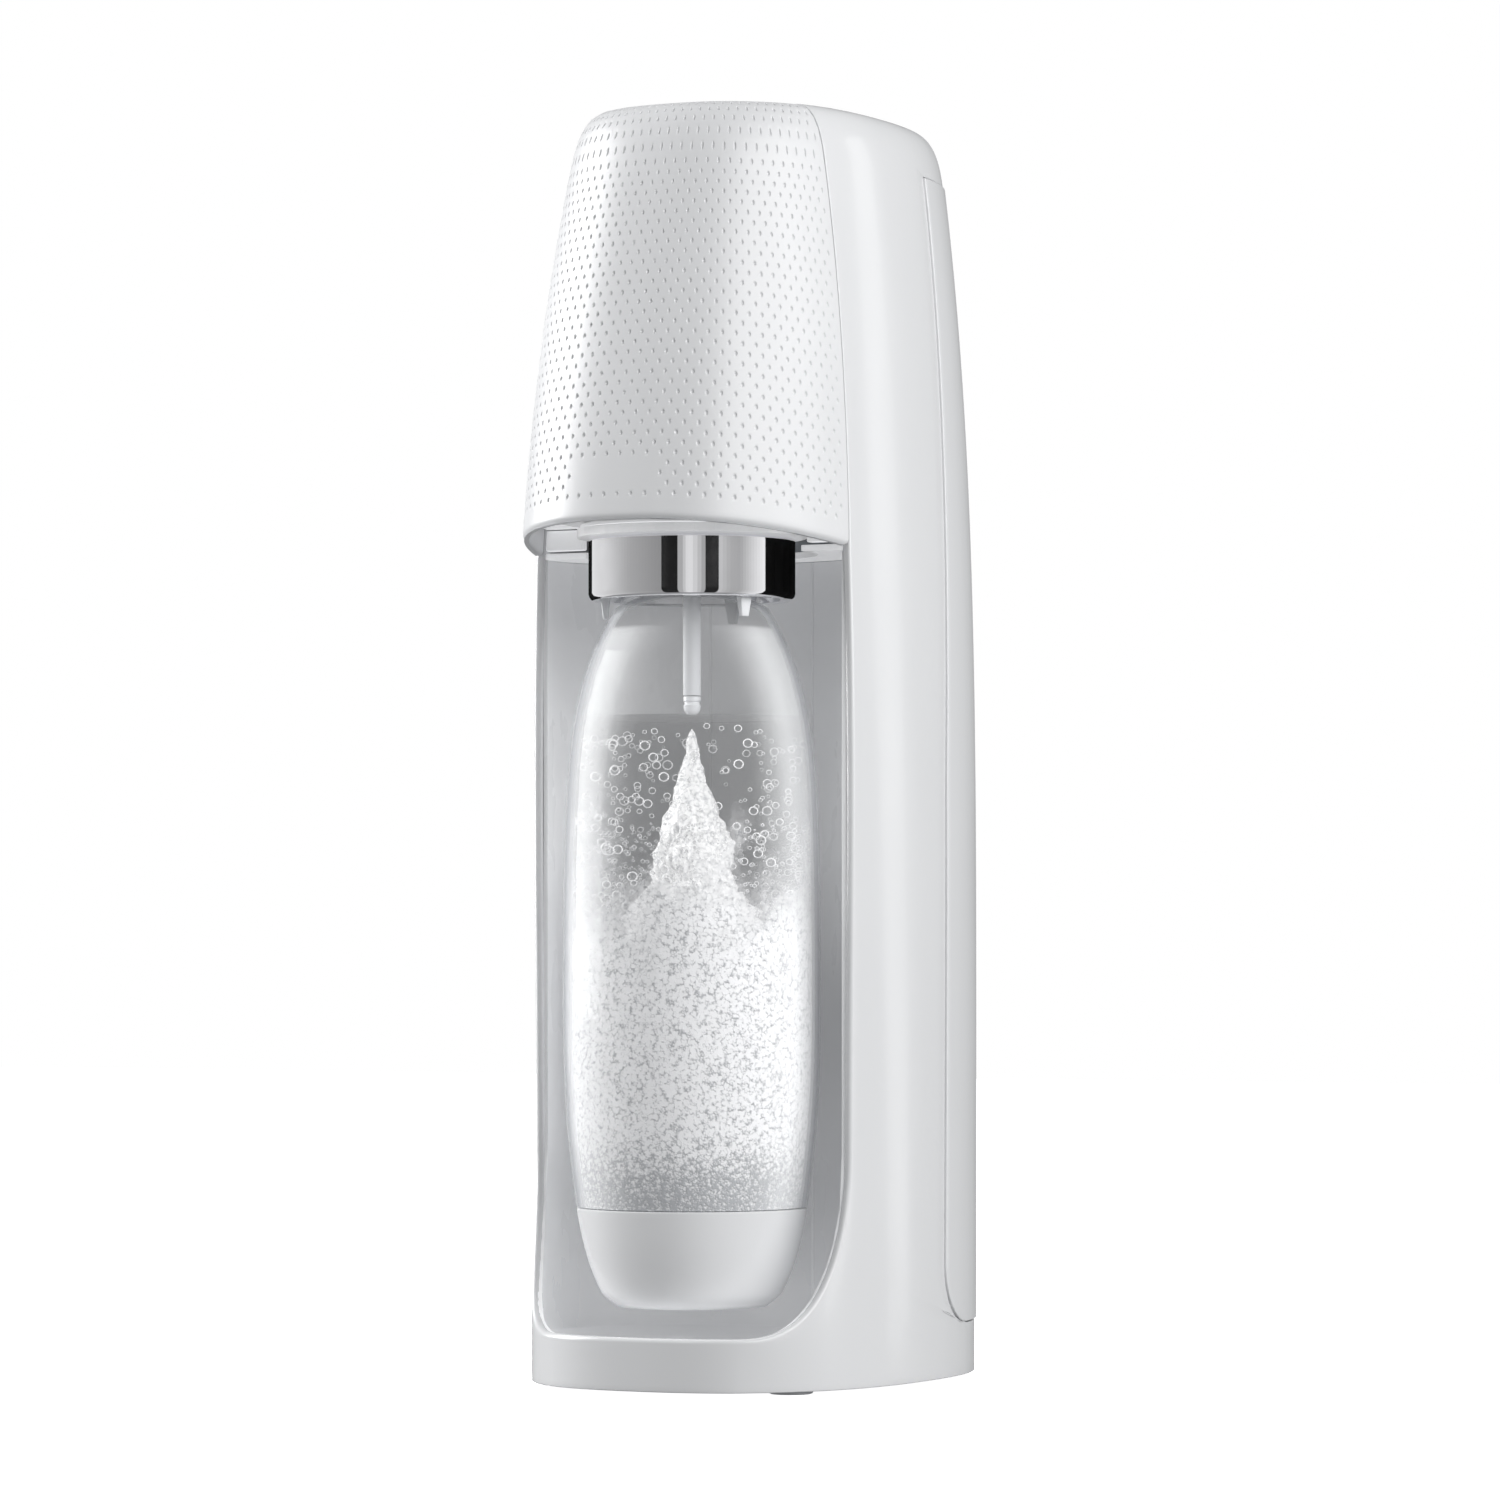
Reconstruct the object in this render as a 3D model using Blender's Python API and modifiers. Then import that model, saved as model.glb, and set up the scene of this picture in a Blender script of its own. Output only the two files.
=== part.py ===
"""Soda carbonator: a press-down head, a tilting bottle holder and a gas cylinder in one tall case.

Metres, +Z up. The front faces -Y, and the origin is on the resting plane under the middle of the
whole object. Sizes along Y below are counted from the case's own centre line.
"""

import math

import bmesh
import bpy
from mathutils import Vector

# ---- Case -------------------------------------------------------------------
CASE_HEIGHT = 0.4247
CASE_BOTTOM = 0.0012
CASE_HALF_WIDTH = 0.0652
CASE_TAPER = 0.0155
CASE_TAPER_POWER = 3.3
TAPER_START = 0.110
BASE_FRONT = 0.0866
SWELL_START = 0.060
BASE_HEIGHT = 0.0187
CASE_BACK = 0.0885
BACK_TAPER = 0.0050
BACK_TAPER_POWER = 2.9
HEAD_FRONT = 0.0988
HEAD_BOTTOM = 0.285
HEAD_SLOPE = 0.01641
HEAD_CURVE = 0.01327
TOP_ROUND = 0.0190
TOP_SHRINK = 0.145
TOP_POWER = 0.72
PLAN_POWER = 2.45
CASE_WALL = 0.0026
GAP = 0.0003

# ---- Front opening and niche ------------------------------------------------
OPENING_Y = -0.0455
SWEEP_DEPTH = 0.0325
SWEEP_HEIGHT = 0.060
SEAM_LEAN = 0.040
HEAD_SIDE_DROP = 0.0075
LIP_DEPTH = 0.0045
NICHE_DEPTH = 0.0520
NICHE_WALL = 0.0020
NICHE_FLOOR = 0.0125
NICHE_TOP = 0.2762
CEILING_THICKNESS = 0.0020
HEAD_FLOOR_Z = 0.2866
NICHE_FILLET = 0.010
LIP_WIDTH = 0.0034
MOUTH_RIM = 0.0055

# ---- Bottle and its holder --------------------------------------------------
BOTTLE_Y = -0.0446
BOTTLE_BOTTOM = 0.0270
BOTTLE_RADIUS = 0.0430
BOTTLE_WALL = 0.0015
CUP_TOP = 0.0600
CUP_WALL = 0.0016
SHOULDER_TOP = 0.2585
NECK_RADIUS = 0.0150
NECK_TOP = 0.2840
RING_RADIUS = 0.0344
RING_WALL = 0.0024
COLLAR_WIDTH = 0.0082
CLAW_INSET = 0.0056
RING_BOTTOM = 0.2611
RING_TOP = 0.2815
CARBONATOR_RADIUS = 0.0240
CARBONATOR_TOP = 0.2990
NOZZLE_RADIUS = 0.0030
NOZZLE_BOTTOM = 0.2233
TILT_Y = -0.0340
TILT_Z = 0.3050
YOKE_RADIUS = RING_RADIUS + 0.0038
TILT_RADIUS = 0.0030
CHEEK_X = 0.0440

# ---- Press head, lever and springs ------------------------------------------
BLOCK_WALL = 0.0025
CROSSBAR_Z = 0.3920
LEVER_Z = 0.3790
LEVER_PIVOT_Y = 0.0620
LEVER_TIP_Y = -0.0560
LEVER_AXLE_RADIUS = 0.0025
LEVER_THICKNESS = 0.0050
SPRING_X = 0.0300
SPRING_Y = -0.0560
SPRING_RADIUS = 0.0048
SPRING_WIRE = 0.0006
SPRING_TURNS = 6

# ---- Gas cylinder -----------------------------------------------------------
CYLINDER_Y = 0.0460
CYLINDER_RADIUS = 0.0300
CYLINDER_BOTTOM = 0.0100
CYLINDER_SHOULDER = 0.2950
CYLINDER_NECK_Z = 0.3270
CYLINDER_COLLAR = 0.0040
CYLINDER_HEEL = 0.0080
CYLINDER_WALL = 0.0024
CYLINDER_NECK_RADIUS = 0.0115
VALVE_TOP = 0.3500
VALVE_RADIUS = 0.0085
PIN_RADIUS = 0.0018
BLOCK_BOTTOM = 0.3420
BLOCK_TOP = 0.3680

# ---- Rear cover, deck and small parts ---------------------------------------
COVER_Y = 0.0135
COVER_BOTTOM = 0.0190
COVER_TOP = 0.4060
COVER_PROUD = 0.0006
COVER_WALL = 0.0022
BUTTON_Z = 0.3860
BUTTON_RADIUS = 0.0085
DECK_Z = 0.3300
DECK_THICKNESS = 0.0030
DECK_SHARE = 0.841
BULKHEAD_THICKNESS = 0.0022
FOOT_RADIUS = 0.0075
FOOT_HEIGHT = 0.0030
FOOT_FRONT_Y = -0.0560
FOOT_REAR_Y = 0.0560
FOOT_INSET = 0.0119
FOOT_X = CASE_HALF_WIDTH * (1 - (-FOOT_FRONT_Y / BASE_FRONT) ** PLAN_POWER) ** (1 / PLAN_POWER) - FOOT_INSET
SCREW_RADIUS = 0.0030

PLAN_STEPS = 36
ROUND_STEPS = 24
BOTTLE_STEPS = 28

CASE_Z = (0.0, 0.060, 0.110, 0.170, 0.230, HEAD_BOTTOM, 0.315, 0.345, 0.370, 0.390)


CENTRE_SHIFT = (HEAD_FRONT - CASE_BACK - COVER_PROUD) / 2


def clear_scene():
    for obj in list(bpy.data.objects):
        bpy.data.objects.remove(obj)


def add_origin():
    """The empty that every piece hangs from. It carries the case's centre line to its place."""
    origin = bpy.data.objects.new("case_centre", None)
    origin.location = (0, CENTRE_SHIFT, 0)
    bpy.context.scene.collection.objects.link(origin)
    return origin


def new_collection(name):
    made = bpy.data.collections.new(name)
    bpy.context.scene.collection.children.link(made)
    return made


def finish_material(name, colour, roughness, metallic=0.0, alpha=1.0):
    made = bpy.data.materials.new(name)
    made.use_nodes = True
    shader = made.node_tree.nodes["Principled BSDF"]
    shader.inputs["Base Color"].default_value = (*colour, 1.0)
    shader.inputs["Roughness"].default_value = roughness
    shader.inputs["Metallic"].default_value = metallic
    shader.inputs["Alpha"].default_value = alpha
    return made


# ---- Case sections ----------------------------------------------------------
def taper(z, power):
    rise = max(0.0, (z - TAPER_START) / (CASE_HEIGHT - TAPER_START))
    return rise**power


def half_width(z):
    return CASE_HALF_WIDTH - CASE_TAPER * taper(z, CASE_TAPER_POWER)


def front_reach(z):
    """How far the case comes forward of its centre: the base, then the overhanging, sloping head."""
    if z >= HEAD_BOTTOM:
        rise = (z - HEAD_BOTTOM) / (CASE_HEIGHT - HEAD_BOTTOM)
        return HEAD_FRONT - HEAD_SLOPE * rise - HEAD_CURVE * rise * rise
    step = min(1.0, max(0.0, (z - SWELL_START) / (HEAD_BOTTOM - SWELL_START)))
    return BASE_FRONT + (HEAD_FRONT - BASE_FRONT) * step * step * (3 - 2 * step)


def back_reach(z):
    return CASE_BACK - BACK_TAPER * taper(z, BACK_TAPER_POWER)


def oval(half, front, back, centre_y=0.0, steps=PLAN_STEPS, power=PLAN_POWER):
    """A superellipse in plan, with its own reach to the front and to the back."""
    points = []
    for i in range(steps):
        angle = 2 * math.pi * i / steps
        c, s = math.cos(angle), math.sin(angle)
        x = half * math.copysign(abs(c) ** (2 / power), c)
        reach = back if s > 0 else front
        points.append((x, centre_y + reach * math.copysign(abs(s) ** (2 / power), s)))
    return points


def case_rings(inset=0.0, bottom=CASE_BOTTOM, top=None):
    """Case sections from bottom to top. With no top given, the rounded top closes them."""
    levels = [bottom] + [z for z in CASE_Z if z > bottom + 0.004 and (top is None or z < top - 0.004)]
    shoulder = CASE_HEIGHT - TOP_ROUND
    rings = []
    if top is not None:
        levels.append(top)
    for z in levels + ([shoulder] if top is None else []):
        plan = oval(half_width(z) - inset, front_reach(z) - inset, back_reach(z) - inset)
        rings.append([Vector((x, y, z)) for x, y in plan])
    if top is None:
        for i in range(1, 7):
            turn = math.pi / 2 * i / 6
            shrink = 1 - TOP_SHRINK * (1 - math.cos(turn) ** TOP_POWER)
            z = shoulder + (TOP_ROUND - inset) * math.sin(turn) ** TOP_POWER
            half, front, back = half_width(z) * shrink, front_reach(z) * shrink, back_reach(z) * shrink
            plan = oval(half - inset, front - inset, back - inset)
            rings.append([Vector((x, y, z)) for x, y in plan])
    return rings


# ---- Mesh makers ------------------------------------------------------------
def mesh_object(name, collection, mesh_data, material=None):
    obj = bpy.data.objects.new(name, mesh_data)
    collection.objects.link(obj)
    obj.parent = bpy.data.objects["case_centre"]
    if material:
        mesh_data.materials.append(material)
    return obj


def loft(name, collection, rings, material=None):
    """A closed solid through rings of equal count, listed from low to high and running anticlockwise."""
    shape = bmesh.new()
    rows = [[shape.verts.new(point) for point in ring] for ring in rings]
    count = len(rows[0])
    for low, high in zip(rows, rows[1:]):
        for i in range(count):
            j = (i + 1) % count
            shape.faces.new((low[i], low[j], high[j], high[i]))
    shape.faces.new(list(reversed(rows[0])))
    shape.faces.new(rows[-1])
    mesh = bpy.data.meshes.new(name)
    shape.to_mesh(mesh)
    shape.free()
    return smooth(mesh_object(name, collection, mesh, material))


def smooth(obj, angle=35):
    obj.data.shade_smooth()
    obj.data.set_sharp_from_angle(angle=math.radians(angle))
    return obj


def box(name, collection, low, high, material=None):
    shape = bmesh.new()
    bmesh.ops.create_cube(shape, size=1.0)
    low, high = Vector(low), Vector(high)
    for vert in shape.verts:
        vert.co = Vector(
            [(low[k] + high[k]) / 2 + vert.co[k] * (high[k] - low[k]) for k in range(3)]
        )
    mesh = bpy.data.meshes.new(name)
    shape.to_mesh(mesh)
    shape.free()
    return mesh_object(name, collection, mesh, material)


AXIS_TURN = {"Z": (0, 0, 0), "X": (0, math.pi / 2, 0), "Y": (math.pi / 2, 0, 0)}


def rod(name, collection, centre, radius, length, along="Z", material=None, steps=ROUND_STEPS):
    bpy.ops.mesh.primitive_cylinder_add(
        vertices=steps, radius=radius, depth=length, location=centre, rotation=AXIS_TURN[along]
    )
    obj = bpy.context.active_object
    obj.name = obj.data.name = name
    for holder in list(obj.users_collection):
        holder.objects.unlink(obj)
    collection.objects.link(obj)
    obj.parent = bpy.data.objects["case_centre"]
    if material:
        obj.data.materials.append(material)
    return smooth(obj)


def turned(name, collection, profile, place, material=None, steps=ROUND_STEPS):
    """Spins (radius, height) points about a vertical axis at place. The profile runs down the outer side."""
    mesh = bpy.data.meshes.new(name)
    shape = bmesh.new()
    verts = [shape.verts.new((radius, 0, height)) for radius, height in profile]
    ends = zip(verts, verts[1:]) if profile[0][0] == 0 else zip(verts, verts[1:] + verts[:1])
    for start, end in ends:
        shape.edges.new((start, end))
    shape.to_mesh(mesh)
    shape.free()
    obj = mesh_object(name, collection, mesh, material)
    obj.location = place
    spin = obj.modifiers.new("Spin", "SCREW")
    spin.steps = spin.render_steps = steps
    spin.use_merge_vertices = True
    spin.merge_threshold = 0.00001
    spin.use_smooth_shade = True
    return obj


def wire(name, collection, points, radius, material, cyclic=False, sides=2):
    curve = bpy.data.curves.new(name, "CURVE")
    curve.dimensions = "3D"
    curve.bevel_depth = radius
    curve.bevel_resolution = sides
    curve.use_fill_caps = not cyclic
    spline = curve.splines.new("POLY")
    spline.points.add(len(points) - 1)
    for place, point in zip(spline.points, points):
        place.co = (*point, 1.0)
    spline.use_cyclic_u = cyclic
    return mesh_object(name, collection, curve, material)


def boolean(obj, other, operation="DIFFERENCE"):
    cut = obj.modifiers.new(f"{operation.title()} {other.name}", "BOOLEAN")
    cut.operation = operation
    cut.object = other
    other.hide_render = True
    other.display_type = "WIRE"
    return obj


def cut(obj, *others):
    for other in others:
        boolean(obj, other)
    return obj


def join(obj, *others):
    for other in others:
        boolean(obj, other, "UNION")
    return obj


def keep(obj, other):
    return boolean(obj, other, "INTERSECT")


# ---- Shared cutting shapes --------------------------------------------------
def side_prism(name, collection, outline, reach=0.2):
    """A (y, z) outline, anticlockwise as seen from +X, drawn out along X."""
    low = [Vector((-reach, y, z)) for y, z in outline]
    high = [Vector((reach, y, z)) for y, z in outline]
    shape = bmesh.new()
    rows = [[shape.verts.new(p) for p in row] for row in (low, high)]
    count = len(outline)
    for i in range(count):
        j = (i + 1) % count
        shape.faces.new((rows[0][i], rows[0][j], rows[1][j], rows[1][i]))
    shape.faces.new(list(reversed(rows[0])))
    shape.faces.new(rows[1])
    mesh = bpy.data.meshes.new(name)
    shape.to_mesh(mesh)
    shape.free()
    return mesh_object(name, collection, mesh)


def seam_y(z):
    """Where the press head meets the case. It leans back as it rises."""
    return OPENING_Y + SEAM_LEAN * max(0.0, z - NICHE_TOP)


def opening_outline(back_off=0.0, floor_off=0.0):
    """The front opening in side view: up the seam, and down to the base in an elliptical sweep."""
    top = CASE_HEIGHT + 0.03
    sweep_y, sweep_z = OPENING_Y - SWEEP_DEPTH, BASE_HEIGHT + SWEEP_HEIGHT
    outline = [(-0.3, BASE_HEIGHT + floor_off)]
    for i in range(9):
        turn = math.pi / 2 * i / 8
        y = sweep_y + SWEEP_DEPTH * math.sin(turn) + back_off * math.sin(turn)
        z = sweep_z - (SWEEP_HEIGHT - floor_off) * math.cos(turn)
        outline.append((y, z))
    outline.append((seam_y(NICHE_TOP) + back_off, NICHE_TOP))
    outline.append((seam_y(top) + back_off, top))
    outline.append((-0.3, top))
    return outline


def niche_plan(grow=0.0, back_steps=16, front_steps=12):
    """The niche in plan: a deep U behind the opening, and the case's own outline, set in, before it."""
    half, reach = CASE_HALF_WIDTH - LIP_WIDTH + grow, BASE_FRONT - LIP_WIDTH + grow
    mouth = half * (1 - (-OPENING_Y / reach) ** PLAN_POWER) ** (1 / PLAN_POWER)
    start = math.asin((-OPENING_Y / reach) ** (PLAN_POWER / 2))
    points = []
    for i in range(back_steps + 1):
        turn = math.pi * i / back_steps
        c, s = math.cos(turn), math.sin(turn)
        points.append((math.copysign(mouth * abs(c) ** (2 / PLAN_POWER), c),
                       OPENING_Y + (NICHE_DEPTH + grow) * s ** (2 / PLAN_POWER)))
    for i in range(1, front_steps):
        turn = start + (math.pi - 2 * start) * i / front_steps
        c, s = -math.cos(turn), math.sin(turn)
        points.append((math.copysign(half * abs(c) ** (2 / PLAN_POWER), c), -reach * s ** (2 / PLAN_POWER)))
    return points


def niche_rings(extra=0.0, top=NICHE_TOP):
    """The bottle niche from its filleted floor up to its open top."""
    rings = []
    floor = NICHE_FLOOR - extra
    turns = [math.pi / 2 * i / 4 for i in range(5)]
    levels = [(floor + NICHE_FILLET * (1 - math.cos(a)), NICHE_FILLET * (1 - math.sin(a))) for a in turns]
    levels.append((top, 0.0))
    for z, tuck in levels:
        rings.append([Vector((x, y, z)) for x, y in niche_plan(extra - tuck)])
    return rings


def cover_outline():
    """The rear cover's side view: its seam leans back near the top, and its lower corner is rounded."""
    corner = 0.020
    points = [
        (COVER_Y + corner * (1 - math.cos(a)), COVER_BOTTOM + corner * (1 - math.sin(a)))
        for a in (math.pi / 2 * i / 5 for i in range(6))
    ]
    points.append((0.3, COVER_BOTTOM))
    points.append((0.3, COVER_TOP))
    points.append((COVER_Y + 0.0115, COVER_TOP))
    points.append((COVER_Y + 0.0060, 0.300))
    points.append((COVER_Y + 0.0015, 0.200))
    return points


# ---- Case parts -------------------------------------------------------------
def make_body_shell(parts, cutters, finish):
    shell = loft("body_shell", parts, case_rings(), finish)
    opening = side_prism("opening_cutter", cutters, opening_outline())
    hollow = loft("case_hollow", cutters, case_rings(CASE_WALL, bottom=-0.01))
    top = CASE_HEIGHT + 0.08
    hollow_keep = side_prism(
        "hollow_keep",
        cutters,
        [(OPENING_Y + LIP_DEPTH, -0.02), (0.3, -0.02), (0.3, top), (seam_y(top) + LIP_DEPTH, top),
         (OPENING_Y + LIP_DEPTH, NICHE_TOP)],
    )
    keep(hollow, hollow_keep)
    base_hollow = loft("base_hollow", cutters, case_rings(CASE_WALL, bottom=-0.01, top=0.0085))
    niche = loft("niche_cutter", cutters, niche_rings(NICHE_WALL + GAP, HEAD_BOTTOM + 0.010))
    mouth = loft("mouth_cutter", cutters, case_rings(MOUTH_RIM, bottom=HEAD_BOTTOM))
    cover = side_prism("cover_cutter", cutters, cover_outline())
    return cut(shell, opening, hollow, base_hollow, niche, mouth, cover)


def make_niche_liner(parts, cutters, finish):
    liner = loft("niche_liner", parts, niche_rings(NICHE_WALL), finish)
    inner = loft("niche_inner", cutters, niche_rings(top=NICHE_TOP + 0.01))
    opening = side_prism("liner_front_cutter", cutters, opening_outline(0.0012, -0.0012))
    return cut(liner, inner, opening)


def make_niche_ceiling(parts, cutters, finish):
    """The plate over the niche, behind and beside the ring, which passes through it."""
    low = NICHE_TOP + GAP
    plan = niche_plan(NICHE_WALL)
    rings = [[Vector((x, y, z)) for x, y in plan] for z in (low, low + CEILING_THICKNESS)]
    ceiling = loft("niche_ceiling", parts, rings, finish)
    front = box("ceiling_front", cutters, (-0.2, -0.2, 0.2), (0.2, OPENING_Y + 0.0012, 0.4))
    hole = loft("ceiling_hole", cutters, [
        [Vector((x, y, z)) for x, y in oval(YOKE_RADIUS + 0.0026, 0.06, YOKE_RADIUS - 0.0016, BOTTLE_Y)]
        for z in (0.25, 0.32)
    ])
    return cut(ceiling, front, hole)


def make_head_floor(parts, cutters, finish):
    """The fixed panel up inside the press head, with room for the holder to tilt."""
    low, high = HEAD_FLOOR_Z, HEAD_FLOOR_Z + CEILING_THICKNESS
    panel = loft("head_floor", parts, case_rings(BLOCK_WALL + 0.0009, bottom=low, top=high), finish)
    rear = box("floor_rear", cutters, (-0.2, OPENING_Y + 0.0020, 0.2), (0.2, 0.2, 0.4))
    swing = YOKE_RADIUS + TILT_Z - RING_TOP - 0.0172
    hole = loft("floor_hole", cutters, [
        [Vector((x, y, z)) for x, y in oval(YOKE_RADIUS + 0.0026, swing, 0.05, BOTTLE_Y)]
        for z in (0.25, 0.32)
    ])
    return cut(panel, rear, hole)


def make_drip_tray(parts, cutters, finish):
    """A shallow dish that lies on the niche's floor."""
    low, high, wall = NICHE_FLOOR + GAP, BASE_HEIGHT - 0.0012, 0.0018

    def dish(inset, bottom, top, flare):
        levels = ((bottom, 0.0), (bottom + 0.0014, flare * 0.55), (top, flare))
        return [[Vector((x, y, z)) for x, y in niche_plan(flared - NICHE_FILLET - inset)] for z, flared in levels]

    tray = loft("drip_tray", parts, dish(0.0006, low, high, 0.0080), finish)
    return cut(tray, loft("tray_hollow", cutters, dish(0.0006 + wall, low + wall, high + 0.004, 0.0120)))


def make_base_plate(parts, cutters, finish):
    inset = CASE_WALL + GAP * 1.5
    plate = loft(
        "base_plate", parts, case_rings(inset, bottom=FOOT_HEIGHT + GAP, top=FOOT_HEIGHT + GAP + 0.0025), finish
    )
    return plate


def make_feet(parts, finish):
    for side in (-1, 1):
        for word, y in (("front", FOOT_FRONT_Y), ("rear", FOOT_REAR_Y)):
            name = f"foot_{word}_{'left' if side < 0 else 'right'}"
            edge = 0.0006
            profile = [(0, FOOT_HEIGHT), (FOOT_RADIUS, FOOT_HEIGHT), (FOOT_RADIUS, edge),
                       (FOOT_RADIUS - edge, 0), (0, 0)]
            turned(name, parts, profile, (side * FOOT_X, y, 0), finish, steps=16)


def make_rear_cover(parts, cutters, finish):
    cover = loft("rear_cover", parts, case_rings(-COVER_PROUD), finish)
    inner = loft("cover_inner", cutters, case_rings(COVER_WALL, bottom=-0.01))
    edge = side_prism("cover_keep", cutters, shrink_outline(cover_outline(), GAP))
    keep(cover, edge)
    cut(cover, inner)
    hole = rod("button_hole", cutters, (0, 0.1, BUTTON_Z), BUTTON_RADIUS + GAP, 0.08, "Y")
    return cut(cover, hole)


def shrink_outline(points, amount):
    """Moves the forward and lower sides of the cover's outline in by a gap, and its top down."""
    moved = []
    for y, z in points:
        moved.append((y + (amount if y < 0.2 else 0), z + (amount if z < 0.1 else -amount)))
    return moved


def make_cover_button(parts, cutters, finish):
    wall_y = back_reach(BUTTON_Z)
    depth = 0.0060
    button = rod("cover_button", parts, (0, wall_y - depth / 2 + 0.0010, BUTTON_Z), BUTTON_RADIUS, depth, "Y", finish)
    flange = rod("button_flange", cutters, (0, wall_y - depth + 0.0018, BUTTON_Z), BUTTON_RADIUS + 0.0020, 0.0014, "Y")
    join(button, flange)
    return button


# ---- Inside the case --------------------------------------------------------
def deck_half_width():
    return half_width(DECK_Z) * DECK_SHARE


def make_chassis(parts, cutters, finish):
    """A deck over the niche, with two cheeks for the holder's pivot and a saddle for the valve block."""
    half, deck_top = deck_half_width(), DECK_Z + DECK_THICKNESS
    nose = half - 0.0120
    deck = box("chassis", parts, (-half, OPENING_Y + 0.0060, DECK_Z), (half, 0.0120, deck_top), finish)
    pieces = [
        box("deck_nose", cutters, (-nose, -0.0650, DECK_Z), (nose, OPENING_Y + 0.0070, deck_top)),
        box("saddle", cutters, (-0.0175, 0.0100, DECK_Z), (0.0175, 0.0325, BLOCK_BOTTOM - GAP)),
    ]
    for side in (-1, 1):
        low, high = sorted((side * (CHEEK_X + 0.0012), side * (CHEEK_X + 0.0042)))
        pieces.append(box(f"cheek_{side}", cutters, (low, TILT_Y - 0.0048, TILT_Z - 0.010),
                          (high, TILT_Y + 0.014, DECK_Z + 0.001)))
        low, high = sorted((side * (SPRING_X - 0.0024), side * (SPRING_X + 0.0024)))
        pieces.append(box(f"post_{side}", cutters, (low, SPRING_Y - 0.0024, deck_top - 0.001),
                          (high, SPRING_Y + 0.0024, deck_top + 0.010)))
        low, high = sorted((side * (half - 0.015), side * (half - 0.0030)))
        pieces.append(box(f"arm_{side}", cutters, (low, 0.0110, DECK_Z), (high, 0.0480, deck_top)))
    join(deck, *pieces)
    bore = rod("tilt_bore", cutters, (0, TILT_Y, TILT_Z), TILT_RADIUS + 0.00005, 0.2, "X")
    notch = box("hose_notch", cutters, (-0.06, TILT_Y - 0.002, DECK_Z - 0.01), (-0.0490, -0.0060, DECK_Z + 0.01))
    return cut(deck, bore, notch)


def make_bulkhead(parts, cutters, finish):
    """The wall behind the press head, with a window for the lever."""
    wall = loft("bulkhead", parts, case_rings(CASE_WALL + 0.0008), finish)
    low, high = DECK_Z + DECK_THICKNESS + GAP, CASE_HEIGHT
    front = LIP_DEPTH + GAP
    back = front + BULKHEAD_THICKNESS
    slab = side_prism("bulkhead_keep", cutters, [
        (seam_y(low) + front, low), (seam_y(low) + back, low), (seam_y(high) + back, high), (seam_y(high) + front, high)
    ])
    keep(wall, slab)
    window = box("lever_window", cutters, (-0.016, -0.06, LEVER_Z - 0.016), (0.016, 0.0, LEVER_Z + 0.010))
    return cut(wall, window)


def make_gas_cylinder(parts, finish, brass):
    """A pressed vessel with its neck open under the valve."""
    r, n = CYLINDER_RADIUS, CYLINDER_NECK_RADIUS
    profile = [(n, CYLINDER_NECK_Z), (n, CYLINDER_NECK_Z - CYLINDER_COLLAR)]
    drop = CYLINDER_NECK_Z - CYLINDER_COLLAR - CYLINDER_SHOULDER
    for i in range(1, 6):
        turn = math.pi / 2 * i / 5
        profile.append((n + (r - n) * math.sin(turn), CYLINDER_SHOULDER + drop * math.cos(turn)))
    for i in range(4):
        turn = math.pi / 2 * i / 3
        tuck = CYLINDER_HEEL * (1 - math.cos(turn))
        profile.append((r - tuck, CYLINDER_BOTTOM + CYLINDER_HEEL * (1 - math.sin(turn))))
    profile.append((0, CYLINDER_BOTTOM))
    vessel("gas_cylinder", parts, profile, CYLINDER_WALL, (0, CYLINDER_Y, 0), finish, ROUND_STEPS)
    low, top = CYLINDER_NECK_Z + GAP, VALVE_TOP
    bore = PIN_RADIUS + 0.0003
    valve = [(VALVE_RADIUS, top), (VALVE_RADIUS, BLOCK_BOTTOM - 0.0030), (VALVE_RADIUS + 0.0024, BLOCK_BOTTOM - 0.0034),
             (VALVE_RADIUS + 0.0024, low), (bore, low), (bore, top)]
    turned("cylinder_valve", parts, valve, (0, CYLINDER_Y, 0), brass)


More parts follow.
